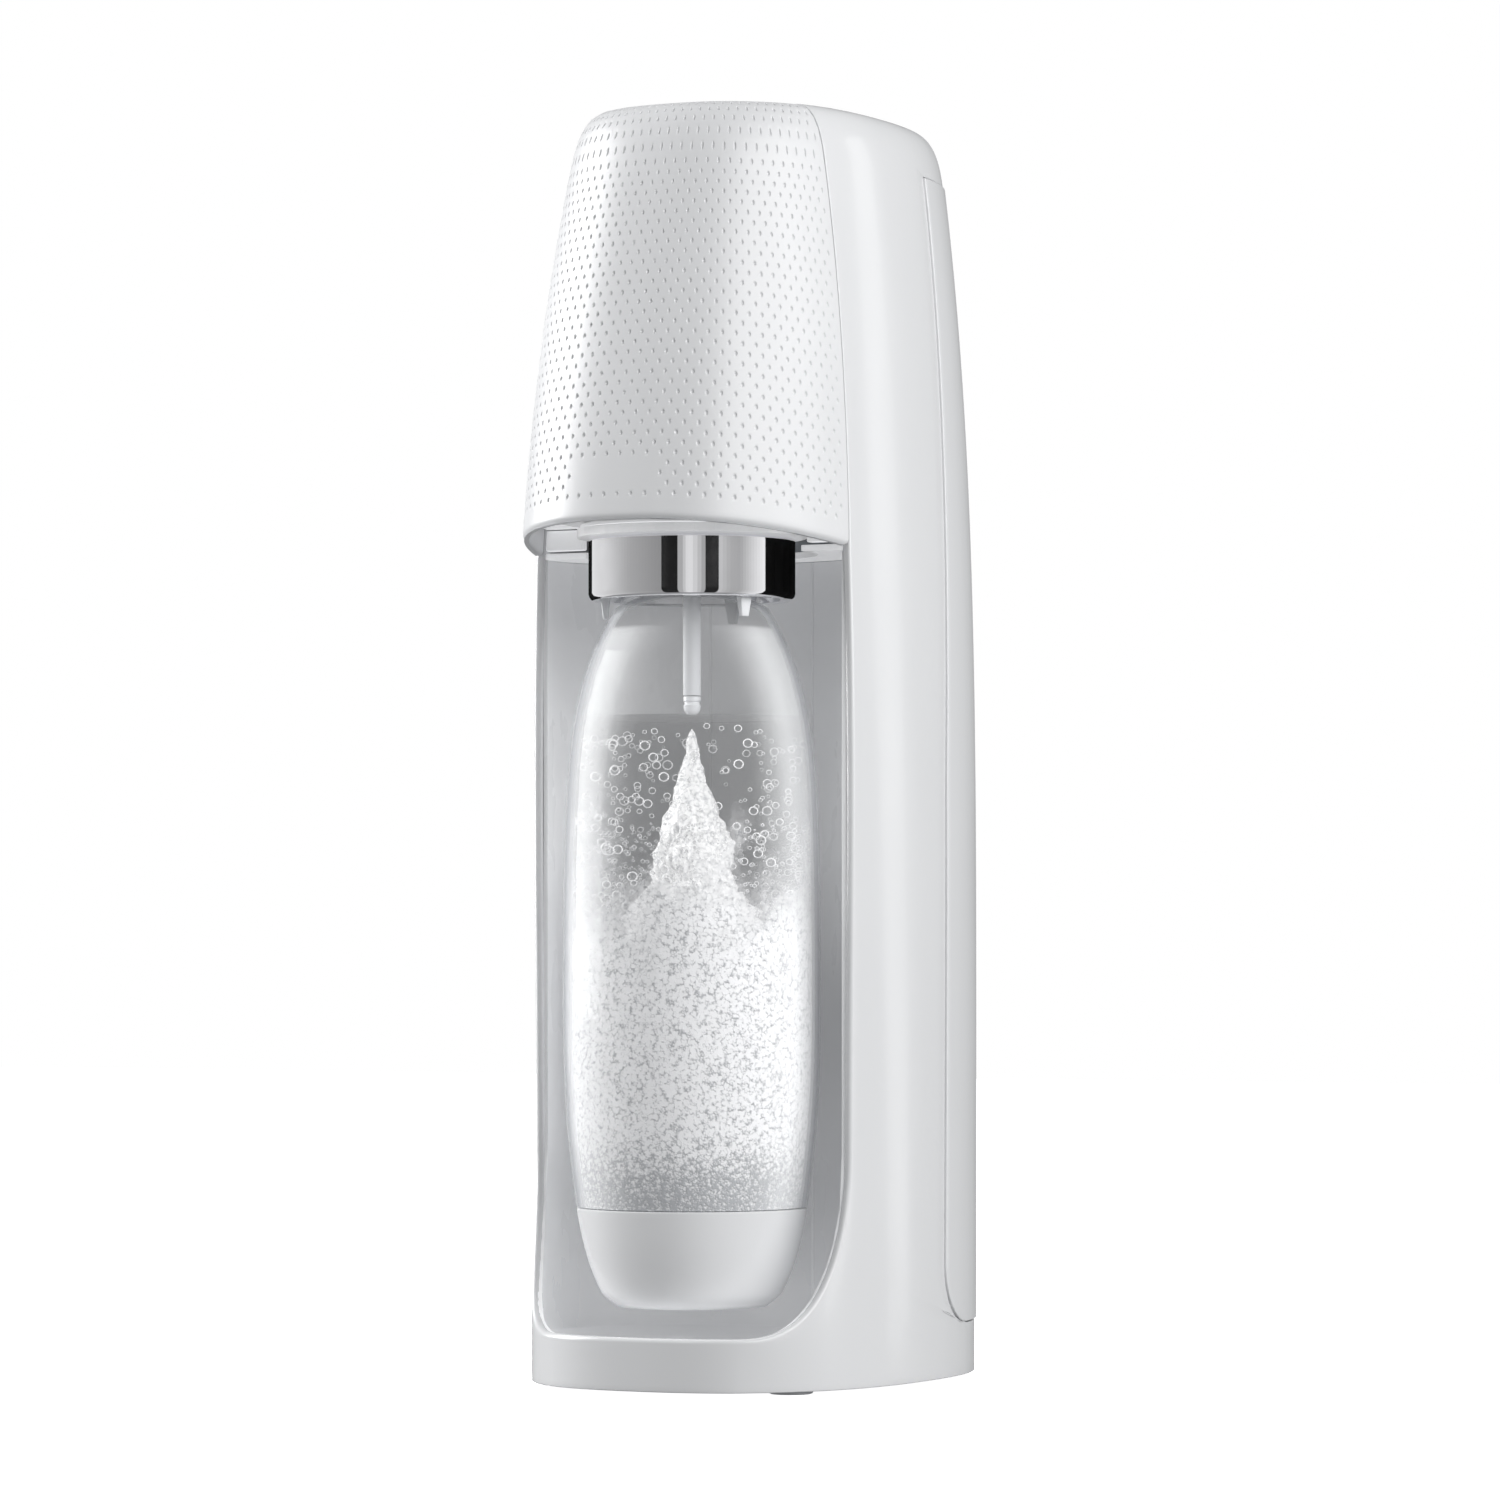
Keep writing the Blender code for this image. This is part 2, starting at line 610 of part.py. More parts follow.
def make_valve_block(parts, cutters, metal, rubber, brass, steel):
    half_x, front, back = 0.0175, 0.0175, 0.0175
    block = box(
        "valve_block", parts,
        (-half_x, CYLINDER_Y - front, BLOCK_BOTTOM), (half_x, CYLINDER_Y + back, BLOCK_TOP - 0.004), metal,
    )
    ears = []
    for side in (-1, 1):
        low, high = sorted((side * 0.0095, side * 0.0150))
        ears.append(
            box(f"lever_ear_{side}", cutters, (low, LEVER_PIVOT_Y - 0.0060, BLOCK_TOP - 0.006),
                (high, LEVER_PIVOT_Y + 0.0015, LEVER_Z + 0.0055))
        )
    join(block, *ears)
    socket = rod("valve_socket", cutters, (0, CYLINDER_Y, BLOCK_BOTTOM + 0.003), VALVE_RADIUS + GAP, 0.014 + 0.0044)
    through = rod("pin_bore", cutters, (0, CYLINDER_Y, BLOCK_TOP), PIN_RADIUS + 0.0004, 0.06, steps=16)
    axle = rod("axle_bore", cutters, (0, LEVER_PIVOT_Y, LEVER_Z), LEVER_AXLE_RADIUS + 0.00005, 0.08, "X", steps=20)
    port = rod("relief_port", cutters, (0.020, CYLINDER_Y, BLOCK_BOTTOM + 0.013), 0.0030, 0.012, "X", steps=20)
    cut(block, socket, through, axle, port)
    seal_low, seal_high = VALVE_TOP + GAP, BLOCK_BOTTOM + 0.012 - GAP
    seal = [(VALVE_RADIUS - 0.0005, seal_high), (VALVE_RADIUS - 0.0005, seal_low), (PIN_RADIUS + 0.0006, seal_low),
            (PIN_RADIUS + 0.0006, seal_high)]
    turned("valve_seal", parts, seal, (0, CYLINDER_Y, 0), rubber, steps=24)
    relief = rod("relief_valve", parts, (0.0265, CYLINDER_Y, BLOCK_BOTTOM + 0.013), 0.0050, 0.0100, "X", brass, 6)
    stem = rod("relief_stem", cutters, (0.0190, CYLINDER_Y, BLOCK_BOTTOM + 0.013), 0.0027, 0.0086, "X", steps=16)
    join(relief, stem)
    rod("lever_axle", parts, (0, LEVER_PIVOT_Y, LEVER_Z), LEVER_AXLE_RADIUS, 0.0330, "X", steel, 20)


def make_cylinder_cradle(parts, finish):
    low = FOOT_HEIGHT + GAP + 0.0025 + GAP
    inner = CYLINDER_RADIUS + 0.0004
    profile = [(inner + 0.0020, 0.0280), (inner + 0.0020, low), (0.012, low), (0.012, CYLINDER_BOTTOM - 0.0006),
               (inner, CYLINDER_BOTTOM - 0.0006), (inner, 0.0280)]
    turned("cylinder_cradle", parts, profile, (0, CYLINDER_Y, 0), finish)


def make_gas_hose(parts, finish, brass):
    """The pipe from the valve block over the deck to the holder's hollow pivot."""
    z = BLOCK_BOTTOM + 0.010
    start = Vector((-0.0218, CYLINDER_Y - 0.004, z))
    end_x = -(CHEEK_X + 0.0092)
    route = [start, Vector((-0.033, 0.037, z)), Vector((-0.044, 0.024, z - 0.003)), Vector((-0.0505, 0.006, z - 0.006)),
             Vector((-0.0522, -0.012, z - 0.013)), Vector((-0.0525, -0.0270, TILT_Z + 0.019)),
             Vector((end_x - 0.0003, TILT_Y, TILT_Z + 0.0052))]
    wire("gas_hose", parts, smooth_path(route, 4), 0.0022, finish, sides=2)
    rod("hose_nut_valve", parts, (-0.0194, CYLINDER_Y - 0.004, z), 0.0036, 0.0032, "X", brass, 6)
    rod("hose_nut_pivot", parts, (end_x, TILT_Y, TILT_Z), 0.0046, 0.0050, "X", brass, 6)


def smooth_path(points, steps):
    """Points along a Catmull-Rom curve through the given ones."""
    path = []
    for i in range(len(points) - 1):
        before, start = points[max(i - 1, 0)], points[i]
        end, after = points[i + 1], points[min(i + 2, len(points) - 1)]
        for k in range(steps):
            t = k / steps
            path.append(
                0.5 * (2 * start + (end - before) * t + (2 * before - 5 * start + 4 * end - after) * t * t
                       + (3 * start - before - 3 * end + after) * t**3)
            )
    path.append(points[-1])
    return path


def make_springs(parts, finish):
    low = DECK_Z + DECK_THICKNESS + GAP + SPRING_WIRE
    high = CROSSBAR_Z - GAP - SPRING_WIRE
    steps = 9
    for side, word in ((-1, "left"), (1, "right")):
        points = []
        for i in range(SPRING_TURNS * steps + 1):
            turn = 2 * math.pi * i / steps
            points.append((side * SPRING_X + SPRING_RADIUS * math.cos(turn),
                           SPRING_Y + SPRING_RADIUS * math.sin(turn),
                           low + (high - low) * i / (SPRING_TURNS * steps)))
        wire(f"return_spring_{word}", parts, points, SPRING_WIRE, finish, sides=0)


# ---- Press head -------------------------------------------------------------
def head_outline(inset=0.0):
    """The press head in side view: a sloping lower rim, and the leaning seam at its back."""
    top = CASE_HEIGHT + 0.03
    return [(-0.3, HEAD_BOTTOM + 0.0150 + inset), (-HEAD_FRONT, HEAD_BOTTOM + inset),
            (OPENING_Y - GAP, HEAD_BOTTOM - HEAD_SIDE_DROP + inset),
            (seam_y(top) - GAP, top), (-0.3, top)]


def make_press_head(parts, cutters, finish, inner_finish):
    head = loft("press_head", parts, case_rings(bottom=0.26), finish)
    keep(head, side_prism("head_keep", cutters, head_outline()))
    hollow = loft("head_hollow", cutters, case_rings(BLOCK_WALL, bottom=0.25))
    cut(head, hollow)
    half = half_width(CROSSBAR_Z) - BLOCK_WALL - GAP
    front = front_reach(CROSSBAR_Z) - BLOCK_WALL - GAP
    bar = loft("press_bar", parts, [
        [Vector((x, y, z)) for x, y in oval(half - 0.004, front - 0.004, 0.02)]
        for z in (CROSSBAR_Z, CROSSBAR_Z + 0.0025)
    ], inner_finish)
    rear = side_prism("bar_keep", cutters, [
        (-0.3, 0.35), (OPENING_Y + 0.0020, 0.35), (OPENING_Y + 0.0020, 0.45), (-0.3, 0.45)])
    keep(bar, rear)
    rib = box("press_rib", cutters, (-0.0090, LEVER_TIP_Y + 0.0005, LEVER_Z + LEVER_THICKNESS / 2 + GAP),
              (0.0090, LEVER_TIP_Y + 0.0045, CROSSBAR_Z + 0.001))
    stem = box("bar_stem", cutters, (-0.0200, -0.0580, CROSSBAR_Z + 0.001), (0.0200, -0.0540, CASE_HEIGHT - 0.0072))
    join(bar, rib, stem)
    return head


def make_lever(parts, cutters, finish):
    low, high = LEVER_Z - LEVER_THICKNESS / 2, LEVER_Z + LEVER_THICKNESS / 2
    lever = box("push_lever", parts, (-0.0080, LEVER_TIP_Y, low), (0.0080, LEVER_PIVOT_Y + 0.0050, high), finish)
    knuckle = rod("lever_knuckle", cutters, (0, LEVER_PIVOT_Y, LEVER_Z), 0.0052, 0.0160, "X", steps=24)
    join(lever, knuckle)
    bore = rod("lever_bore", cutters, (0, LEVER_PIVOT_Y, LEVER_Z), LEVER_AXLE_RADIUS + 0.00005, 0.06, "X", steps=20)
    return cut(lever, bore)


def make_valve_pin(parts, finish):
    low, high = CYLINDER_NECK_Z + 0.0030, LEVER_Z - LEVER_THICKNESS / 2 - GAP
    rod("valve_pin", parts, (0, CYLINDER_Y, (low + high) / 2), PIN_RADIUS, high - low, material=finish, steps=16)


# ---- Bottle holder ----------------------------------------------------------
def make_holder(parts, cutters, finishes):
    white, chrome, grey, rubber, steel = finishes
    place = (0, BOTTLE_Y, 0)
    ring_in = RING_RADIUS - RING_WALL
    edge = 0.0008
    ring = [(RING_RADIUS - edge, RING_TOP), (RING_RADIUS, RING_TOP - edge), (RING_RADIUS, RING_BOTTOM + edge),
            (RING_RADIUS - edge, RING_BOTTOM), (ring_in + edge, RING_BOTTOM), (ring_in, RING_BOTTOM + edge),
            (ring_in, RING_TOP)]
    turned("snap_ring", parts, ring, place, chrome, steps=40)
    collar_out, collar_in = ring_in - GAP, RING_RADIUS - COLLAR_WIDTH
    collar = [(collar_out, RING_TOP + 0.0002), (collar_out, RING_BOTTOM + 0.0035), (collar_in, RING_BOTTOM + 0.0035),
              (collar_in, RING_TOP + 0.0002)]
    turned("lock_collar", parts, collar, place, grey, steps=32)
    for i, angle in enumerate((205, 335, 90)):
        turn = math.radians(angle)
        reach = RING_RADIUS - CLAW_INSET
        x, y = reach * math.cos(turn), BOTTLE_Y + reach * math.sin(turn)
        claw = box(f"snap_claw_{'abc'[i]}", parts, (-0.0018, -0.0028, 0), (0.0018, 0.0028, 0.0095), grey)
        claw.location = (x, y, RING_BOTTOM + 0.0032 - 0.0095)
        claw.rotation_euler = (0, 0, turn)
        taper_claw(claw)
    head_low = NECK_TOP + 0.0030 + 2 * GAP
    nozzle_bore = NOZZLE_RADIUS + 0.0002
    carbonator = [(CARBONATOR_RADIUS - 0.008, CARBONATOR_TOP), (CARBONATOR_RADIUS, CARBONATOR_TOP - 0.008),
                  (CARBONATOR_RADIUS, head_low), (nozzle_bore, head_low), (nozzle_bore, CARBONATOR_TOP)]
    turned("carbonation_head", parts, carbonator, place, white, steps=28)
    seal_out = NECK_RADIUS + 0.0012
    seal = [(seal_out, NECK_TOP + 0.0030 + GAP), (seal_out, NECK_TOP + GAP), (0.0060, NECK_TOP + GAP),
            (0.0060, NECK_TOP + 0.0030 + GAP)]
    turned("bottle_seal", parts, seal, place, rubber, steps=24)
    tube_top = CARBONATOR_TOP - 0.006
    tube = [(NOZZLE_RADIUS, tube_top), (NOZZLE_RADIUS, NOZZLE_BOTTOM + 0.0063), (0.0012, NOZZLE_BOTTOM + 0.0063),
            (0.0012, tube_top)]
    turned("nozzle_tube", parts, tube, place, white, steps=16)
    tip = [(0.0030, NOZZLE_BOTTOM + 0.0060), (0.0030, NOZZLE_BOTTOM + 0.0020), (0.0018, NOZZLE_BOTTOM),
           (0.0007, NOZZLE_BOTTOM), (0.0007, NOZZLE_BOTTOM + 0.0060)]
    turned("nozzle_tip", parts, tip, place, grey, steps=16)
    make_yoke(parts, cutters, white)
    rod("tilt_axle", parts, (0, TILT_Y, TILT_Z), TILT_RADIUS, 2 * (CHEEK_X + 0.0042), "X", steel, 24)


def taper_claw(claw):
    for vert in claw.data.vertices:
        if vert.co.z < 0.001:
            vert.co.x *= 0.45
            vert.co.y *= 0.45


def make_yoke(parts, cutters, finish):
    """The plate that the ring and the carbonation head hang from, with arms up to the tilt axle."""
    low, high = RING_TOP + GAP + 0.0002, RING_TOP + 0.0034
    plate = rod("holder_yoke", parts, (0, BOTTLE_Y, (low + high) / 2), YOKE_RADIUS, high - low, material=finish, steps=36)
    arms = []
    for side in (-1, 1):
        inner, outer = sorted((side * (YOKE_RADIUS - 0.0070), side * (YOKE_RADIUS - 0.0030)))
        arms.append(box(f"yoke_arm_{side}", cutters, (inner, TILT_Y - 0.008, low), (outer, TILT_Y + 0.008, TILT_Z + 0.0065)))
    join(plate, *arms)
    hole = rod("head_hole", cutters, (0, BOTTLE_Y, TILT_Z), CARBONATOR_RADIUS + GAP, 0.08, steps=28)
    axle = rod("yoke_bore", cutters, (0, TILT_Y, TILT_Z), TILT_RADIUS + 0.0003, 0.2, "X", steps=24)
    return cut(plate, hole, axle)


# ---- Bottle -----------------------------------------------------------------
def bottle_radius(z):
    """The bottle's outer radius: a barrel that narrows a little to its cup and runs up in a long shoulder."""
    widest = 0.125
    if z >= widest:
        rise = (z - widest) / (SHOULDER_TOP - widest)
        return BOTTLE_RADIUS - (BOTTLE_RADIUS - 0.0255) * (0.10 * rise**2 + 0.90 * rise**5.2)
    fall = (widest - z) / (widest - CUP_TOP)
    if fall <= 1:
        return BOTTLE_RADIUS - 0.0046 * fall**2.2
    depth = (CUP_TOP - z) / (CUP_TOP - BOTTLE_BOTTOM)
    return 0.0384 - 0.0060 * depth - 0.0052 * depth**3


def vessel(name, collection, profile, wall, place, material, steps):
    """A turned wall: the profile is its outer side, from the rim down to the axis."""
    mesh = bpy.data.meshes.new(name)
    shape = bmesh.new()
    verts = [shape.verts.new((radius, 0, height)) for radius, height in profile]
    for start, end in zip(verts, verts[1:]):
        shape.edges.new((start, end))
    shape.to_mesh(mesh)
    shape.free()
    obj = mesh_object(name, collection, mesh, material)
    obj.location = place
    spin = obj.modifiers.new("Spin", "SCREW")
    spin.steps = spin.render_steps = steps
    spin.use_merge_vertices = True
    spin.merge_threshold = 0.00001
    shell = obj.modifiers.new("Wall", "SOLIDIFY")
    shell.thickness = wall
    shell.offset = -1
    shell.use_even_offset = True
    return obj


def make_bottle(parts, clear, white):
    place = (0, BOTTLE_Y, 0)
    floor = BOTTLE_BOTTOM + CUP_WALL + 0.0026
    profile = [(NECK_RADIUS, NECK_TOP), (NECK_RADIUS, SHOULDER_TOP + 0.0060), (0.0215, SHOULDER_TOP + 0.0036)]
    for i in range(10):
        z = SHOULDER_TOP - (SHOULDER_TOP - CUP_TOP) * (i / 9) ** 1.35
        profile.append((bottle_radius(z), z))
    for i in range(3):
        z = CUP_TOP - 0.0008 - (CUP_TOP - 0.0008 - floor) * i / 2
        profile.append((bottle_radius(z) - CUP_WALL - 2 * GAP, z))
    profile.append((0, floor))
    vessel("bottle", parts, profile, BOTTLE_WALL, place, clear, BOTTLE_STEPS)
    cup = []
    for i in range(5):
        z = CUP_TOP - 0.0012 - (CUP_TOP - 0.0012 - BOTTLE_BOTTOM) * i / 4
        cup.append((bottle_radius(z), z))
    cup.append((0, BOTTLE_BOTTOM))
    vessel("bottle_base", parts, cup, CUP_WALL, place, white, BOTTLE_STEPS)


# ---- Screws -----------------------------------------------------------------
def make_screws(parts, finish):
    deck_top = DECK_Z + DECK_THICKNESS + GAP
    half = deck_half_width()
    for side in (-1, 1):
        word = "left" if side < 0 else "right"
        profile = [(0, deck_top + 0.0020), (SCREW_RADIUS, deck_top + 0.0016), (SCREW_RADIUS, deck_top), (0, deck_top)]
        turned(f"deck_screw_{word}", parts, profile, (side * (half - 0.009), 0.0420, 0), finish, steps=12)
        base = FOOT_HEIGHT
        head = [(0, base), (SCREW_RADIUS, base), (SCREW_RADIUS, base - 0.0016), (0, base - 0.0020)]
        turned(f"base_screw_{word}", parts, head, (side * FOOT_X * 0.5, FOOT_REAR_Y + 0.006, 0), finish, steps=12)


def main():
    clear_scene()
    add_origin()
    parts = new_collection("Soda carbonator")
    cutters = new_collection("Cutters")
    white = finish_material("white plastic", (0.86, 0.86, 0.87), 0.28)
    inner = finish_material("grey plastic", (0.42, 0.43, 0.45), 0.45)
    clear = finish_material("clear plastic", (0.93, 0.95, 0.96), 0.05, alpha=0.3)
    chrome = finish_material("chrome", (0.80, 0.80, 0.82), 0.06, 1.0)
    steel = finish_material("steel", (0.62, 0.63, 0.65), 0.3, 1.0)
    brass = finish_material("brass", (0.78, 0.60, 0.30), 0.3, 1.0)
    paint = finish_material("painted cylinder", (0.62, 0.65, 0.68), 0.35, 0.6)
    rubber = finish_material("rubber", (0.05, 0.05, 0.055), 0.8)
    make_body_shell(parts, cutters, white)
    make_niche_liner(parts, cutters, white)
    make_niche_ceiling(parts, cutters, white)
    make_head_floor(parts, cutters, white)
    make_drip_tray(parts, cutters, white)
    make_base_plate(parts, cutters, inner)
    make_feet(parts, rubber)
    make_rear_cover(parts, cutters, white)
    make_cover_button(parts, cutters, white)
    make_chassis(parts, cutters, inner)
    make_bulkhead(parts, cutters, white)
    make_gas_cylinder(parts, paint, brass)
    make_valve_block(parts, cutters, steel, rubber, brass, steel)
    make_cylinder_cradle(parts, inner)
    make_gas_hose(parts, rubber, brass)
    make_springs(parts, steel)
    make_press_head(parts, cutters, white, inner)
    make_lever(parts, cutters, inner)
    make_valve_pin(parts, steel)
    make_holder(parts, cutters, (white, chrome, inner, rubber, steel))
    make_bottle(parts, clear, white)
    make_screws(parts, steel)


main()
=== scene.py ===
"""Soda carbonator: a white press-head machine over a clear bottle of sparkling water.

Metres, +Z up, the front facing -Y. Lengths along Y below are counted from the case's own centre
line, which stands CENTRE_Y behind the frame's origin.
"""

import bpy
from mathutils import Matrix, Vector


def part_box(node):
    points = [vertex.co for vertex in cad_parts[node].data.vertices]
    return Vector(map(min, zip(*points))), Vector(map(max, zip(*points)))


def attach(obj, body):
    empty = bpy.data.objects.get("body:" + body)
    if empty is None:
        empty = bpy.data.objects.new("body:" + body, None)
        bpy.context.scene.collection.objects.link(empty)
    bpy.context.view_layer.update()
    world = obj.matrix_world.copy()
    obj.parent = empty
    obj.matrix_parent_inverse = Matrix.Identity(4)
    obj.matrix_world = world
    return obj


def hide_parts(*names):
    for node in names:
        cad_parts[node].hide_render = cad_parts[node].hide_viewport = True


bl_info = {
    "name": "Soda Carbonator",
    "version": (1, 0, 0),
    "blender": (4, 5, 0),
    "location": "View3D > Sidebar > Carbonator",
    "description": "Builds the finished pieces, finishes and stage of a soda carbonator",
    "category": "Add Mesh",
}

import math
import random
from contextlib import contextmanager

import bpy
from mathutils import Matrix, Vector, noise

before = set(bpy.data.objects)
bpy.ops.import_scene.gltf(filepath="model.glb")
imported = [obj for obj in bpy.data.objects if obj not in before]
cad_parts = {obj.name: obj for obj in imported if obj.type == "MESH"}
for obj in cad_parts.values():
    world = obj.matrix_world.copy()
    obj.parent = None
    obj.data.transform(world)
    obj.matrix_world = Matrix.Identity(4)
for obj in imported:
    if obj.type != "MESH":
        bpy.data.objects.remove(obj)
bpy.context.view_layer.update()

# ---- The case's form, in metres ---------------------------------------------
CASE_HEIGHT = 0.4247
CASE_BOTTOM = 0.0012
CASE_HALF_WIDTH = 0.0652
CASE_TAPER = 0.0155
CASE_TAPER_POWER = 3.3
TAPER_START = 0.110
BASE_FRONT = 0.0866
BASE_HEIGHT = 0.0187
CASE_BACK = 0.0885
BACK_TAPER = 0.0050
BACK_TAPER_POWER = 2.9
HEAD_FRONT = 0.0988
HEAD_BOTTOM = 0.285
HEAD_SLOPE = 0.01641
HEAD_CURVE = 0.01327
TOP_ROUND = 0.0190
TOP_SHRINK = 0.145
TOP_POWER = 0.72
PLAN_POWER = 2.45
GAP = 0.0003
OPENING_Y = -0.0455
SWEEP_DEPTH = 0.0325
SWEEP_HEIGHT = 0.060
SEAM_LEAN = 0.040
HEAD_SIDE_DROP = 0.0075
LIP_WIDTH = 0.0034
NICHE_DEPTH = 0.0520
NICHE_FLOOR = 0.0125
NICHE_TOP = 0.2762
NICHE_FILLET = 0.010
COVER_PROUD = 0.0006
COVER_BOTTOM = 0.0193
COVER_TOP = 0.4059
COVER_CORNER = 0.020
COVER_SEAM = ((0.039, 0.0135), (0.200, 0.0150), (0.300, 0.0195), (0.406, 0.0250))
CENTRE_Y = (HEAD_FRONT - CASE_BACK - COVER_PROUD) / 2
SHOULDER = CASE_HEIGHT - TOP_ROUND

# ---- The bottle's form ------------------------------------------------------
BOTTLE_Y = -0.0446
BOTTLE_BOTTOM = 0.0270
BOTTLE_RADIUS = 0.0430
BOTTLE_WIDEST = 0.125
CUP_TOP = 0.0600
SHOULDER_TOP = 0.2585
NECK_RADIUS = 0.0150
NECK_TOP = 0.2840
RING_RADIUS = 0.0344
RING_BOTTOM = 0.2611
RING_TOP = 0.2815
RING_WALL = 0.0024
NOZZLE_BOTTOM = 0.2233


# ---- Sizes and colours a user may change ------------------------------------
class CarbonatorCase(bpy.types.PropertyGroup):
    wall: bpy.props.FloatProperty(
        name="Wall", description="Thickness of the case's wall at its rims", default=0.0032,
        min=0.002, max=0.004, unit="LENGTH")
    lip_round: bpy.props.FloatProperty(
        name="Lip rounding", description="Radius of the front opening's lip", default=0.0013,
        min=0.0002, max=0.0015, unit="LENGTH")
    seam_round: bpy.props.FloatProperty(
        name="Seam rounding", description="Radius of the edges along the seams", default=0.0004,
        min=0.0001, max=0.001, unit="LENGTH")
    groove: bpy.props.FloatProperty(
        name="Groove", description="Depth of the two grooves in the niche's back", default=0.0007,
        min=0.0, max=0.001, unit="LENGTH")


class CarbonatorHead(bpy.types.PropertyGroup):
    columns: bpy.props.IntProperty(
        name="Columns", description="Columns of dimple cells from seam to seam", default=70, min=20, max=90)
    rows: bpy.props.IntProperty(
        name="Rows", description="Rows of dimple cells from the rim to the top", default=42, min=10, max=60)
    dimple: bpy.props.FloatProperty(
        name="Dimple", description="Half width of a dimple, as a share of its cell", default=0.27,
        min=0.15, max=0.35, subtype="FACTOR")
    depth: bpy.props.FloatProperty(
        name="Dimple depth", description="How far a dimple goes in", default=0.00048,
        min=0.0001, max=0.0008, unit="LENGTH")
    wall: bpy.props.FloatProperty(
        name="Wall", description="Thickness of the press head's wall", default=0.0025,
        min=0.0015, max=0.003, unit="LENGTH")


class CarbonatorBottle(bpy.types.PropertyGroup):
    wall: bpy.props.FloatProperty(
        name="Wall", description="Thickness of the bottle's clear wall", default=0.0011,
        min=0.0006, max=0.002, unit="LENGTH")
    water_level: bpy.props.FloatProperty(
        name="Water level", description="Height of the water's surface", default=0.2224,
        min=0.1, max=0.24, unit="LENGTH")
    bubbles: bpy.props.IntProperty(
        name="Bubbles", description="Number of large bubbles in the water", default=620, min=10, max=900)
    fizz: bpy.props.IntProperty(
        name="Fizz", description="Number of small bubbles in the foam", default=5200, min=100, max=7000)


class CarbonatorColours(bpy.types.PropertyGroup):
    shell: bpy.props.FloatVectorProperty(
        name="Case", description="Colour of the case, cover and press head", default=(0.665, 0.67, 0.68),
        min=0, max=1, size=3, subtype="COLOR")
    # Painted light: the niche's white is lighter than the case's, to make up for the shade in the niche; the
    # tray and the soffit under the head share it.
    niche: bpy.props.FloatVectorProperty(
        name="Niche", description="Colour of the niche and tray", default=(0.91, 0.915, 0.925),
        min=0, max=1, size=3, subtype="COLOR")
    metal: bpy.props.FloatVectorProperty(
        name="Chrome", description="Colour of the snap ring's plating", default=(0.86, 0.86, 0.88),
        min=0, max=1, size=3, subtype="COLOR")
    cylinder: bpy.props.FloatVectorProperty(
        name="Cylinder", description="Colour of the gas cylinder's paint", default=(0.60, 0.64, 0.68),
        min=0, max=1, size=3, subtype="COLOR")


class CarbonatorStage(bpy.types.PropertyGroup):
    room_light: bpy.props.FloatProperty(
        name="Room light", description="Strength of the even light from all round", default=0.29,
        min=0, max=3)
    key_power: bpy.props.FloatProperty(
        name="Soft box", description="Power of the large soft box, in watts", default=36.0, min=0, max=200)
    turn: bpy.props.FloatProperty(
        name="Camera turn", description="How far round the camera stands from the front",
        default=math.radians(27.96), subtype="ANGLE")
    distance: bpy.props.FloatProperty(
        name="Camera distance", description="From the case's centre line to the camera", default=2.01325,
        min=0.5, max=10, unit="LENGTH")


GROUPS = (CarbonatorCase, CarbonatorHead, CarbonatorBottle, CarbonatorColours, CarbonatorStage)


# ---- Shader maths -----------------------------------------------------------
class Value:
    """A socket's output. Arithmetic on it adds Math nodes to its finish."""

    def __init__(self, finish, output):
        self.finish = finish
        self.output = output

    def math(self, operation, *others):
        values = {i: value for i, value in enumerate((self, *others))}
        return self.finish.node("ShaderNodeMath", {"operation": operation}, values)

    def __add__(self, other):
        return self.math("ADD", other)

    def __sub__(self, other):
        return self.math("SUBTRACT", other)

    def __rsub__(self, other):
        return self.finish.node("ShaderNodeMath", {"operation": "SUBTRACT"}, {0: other, 1: self})

    def __mul__(self, other):
        return self.math("MULTIPLY", other)

    def __truediv__(self, other):
        return self.math("DIVIDE", other)

    def __pow__(self, other):
        return self.math("POWER", other)

    __radd__ = __add__
    __rmul__ = __mul__


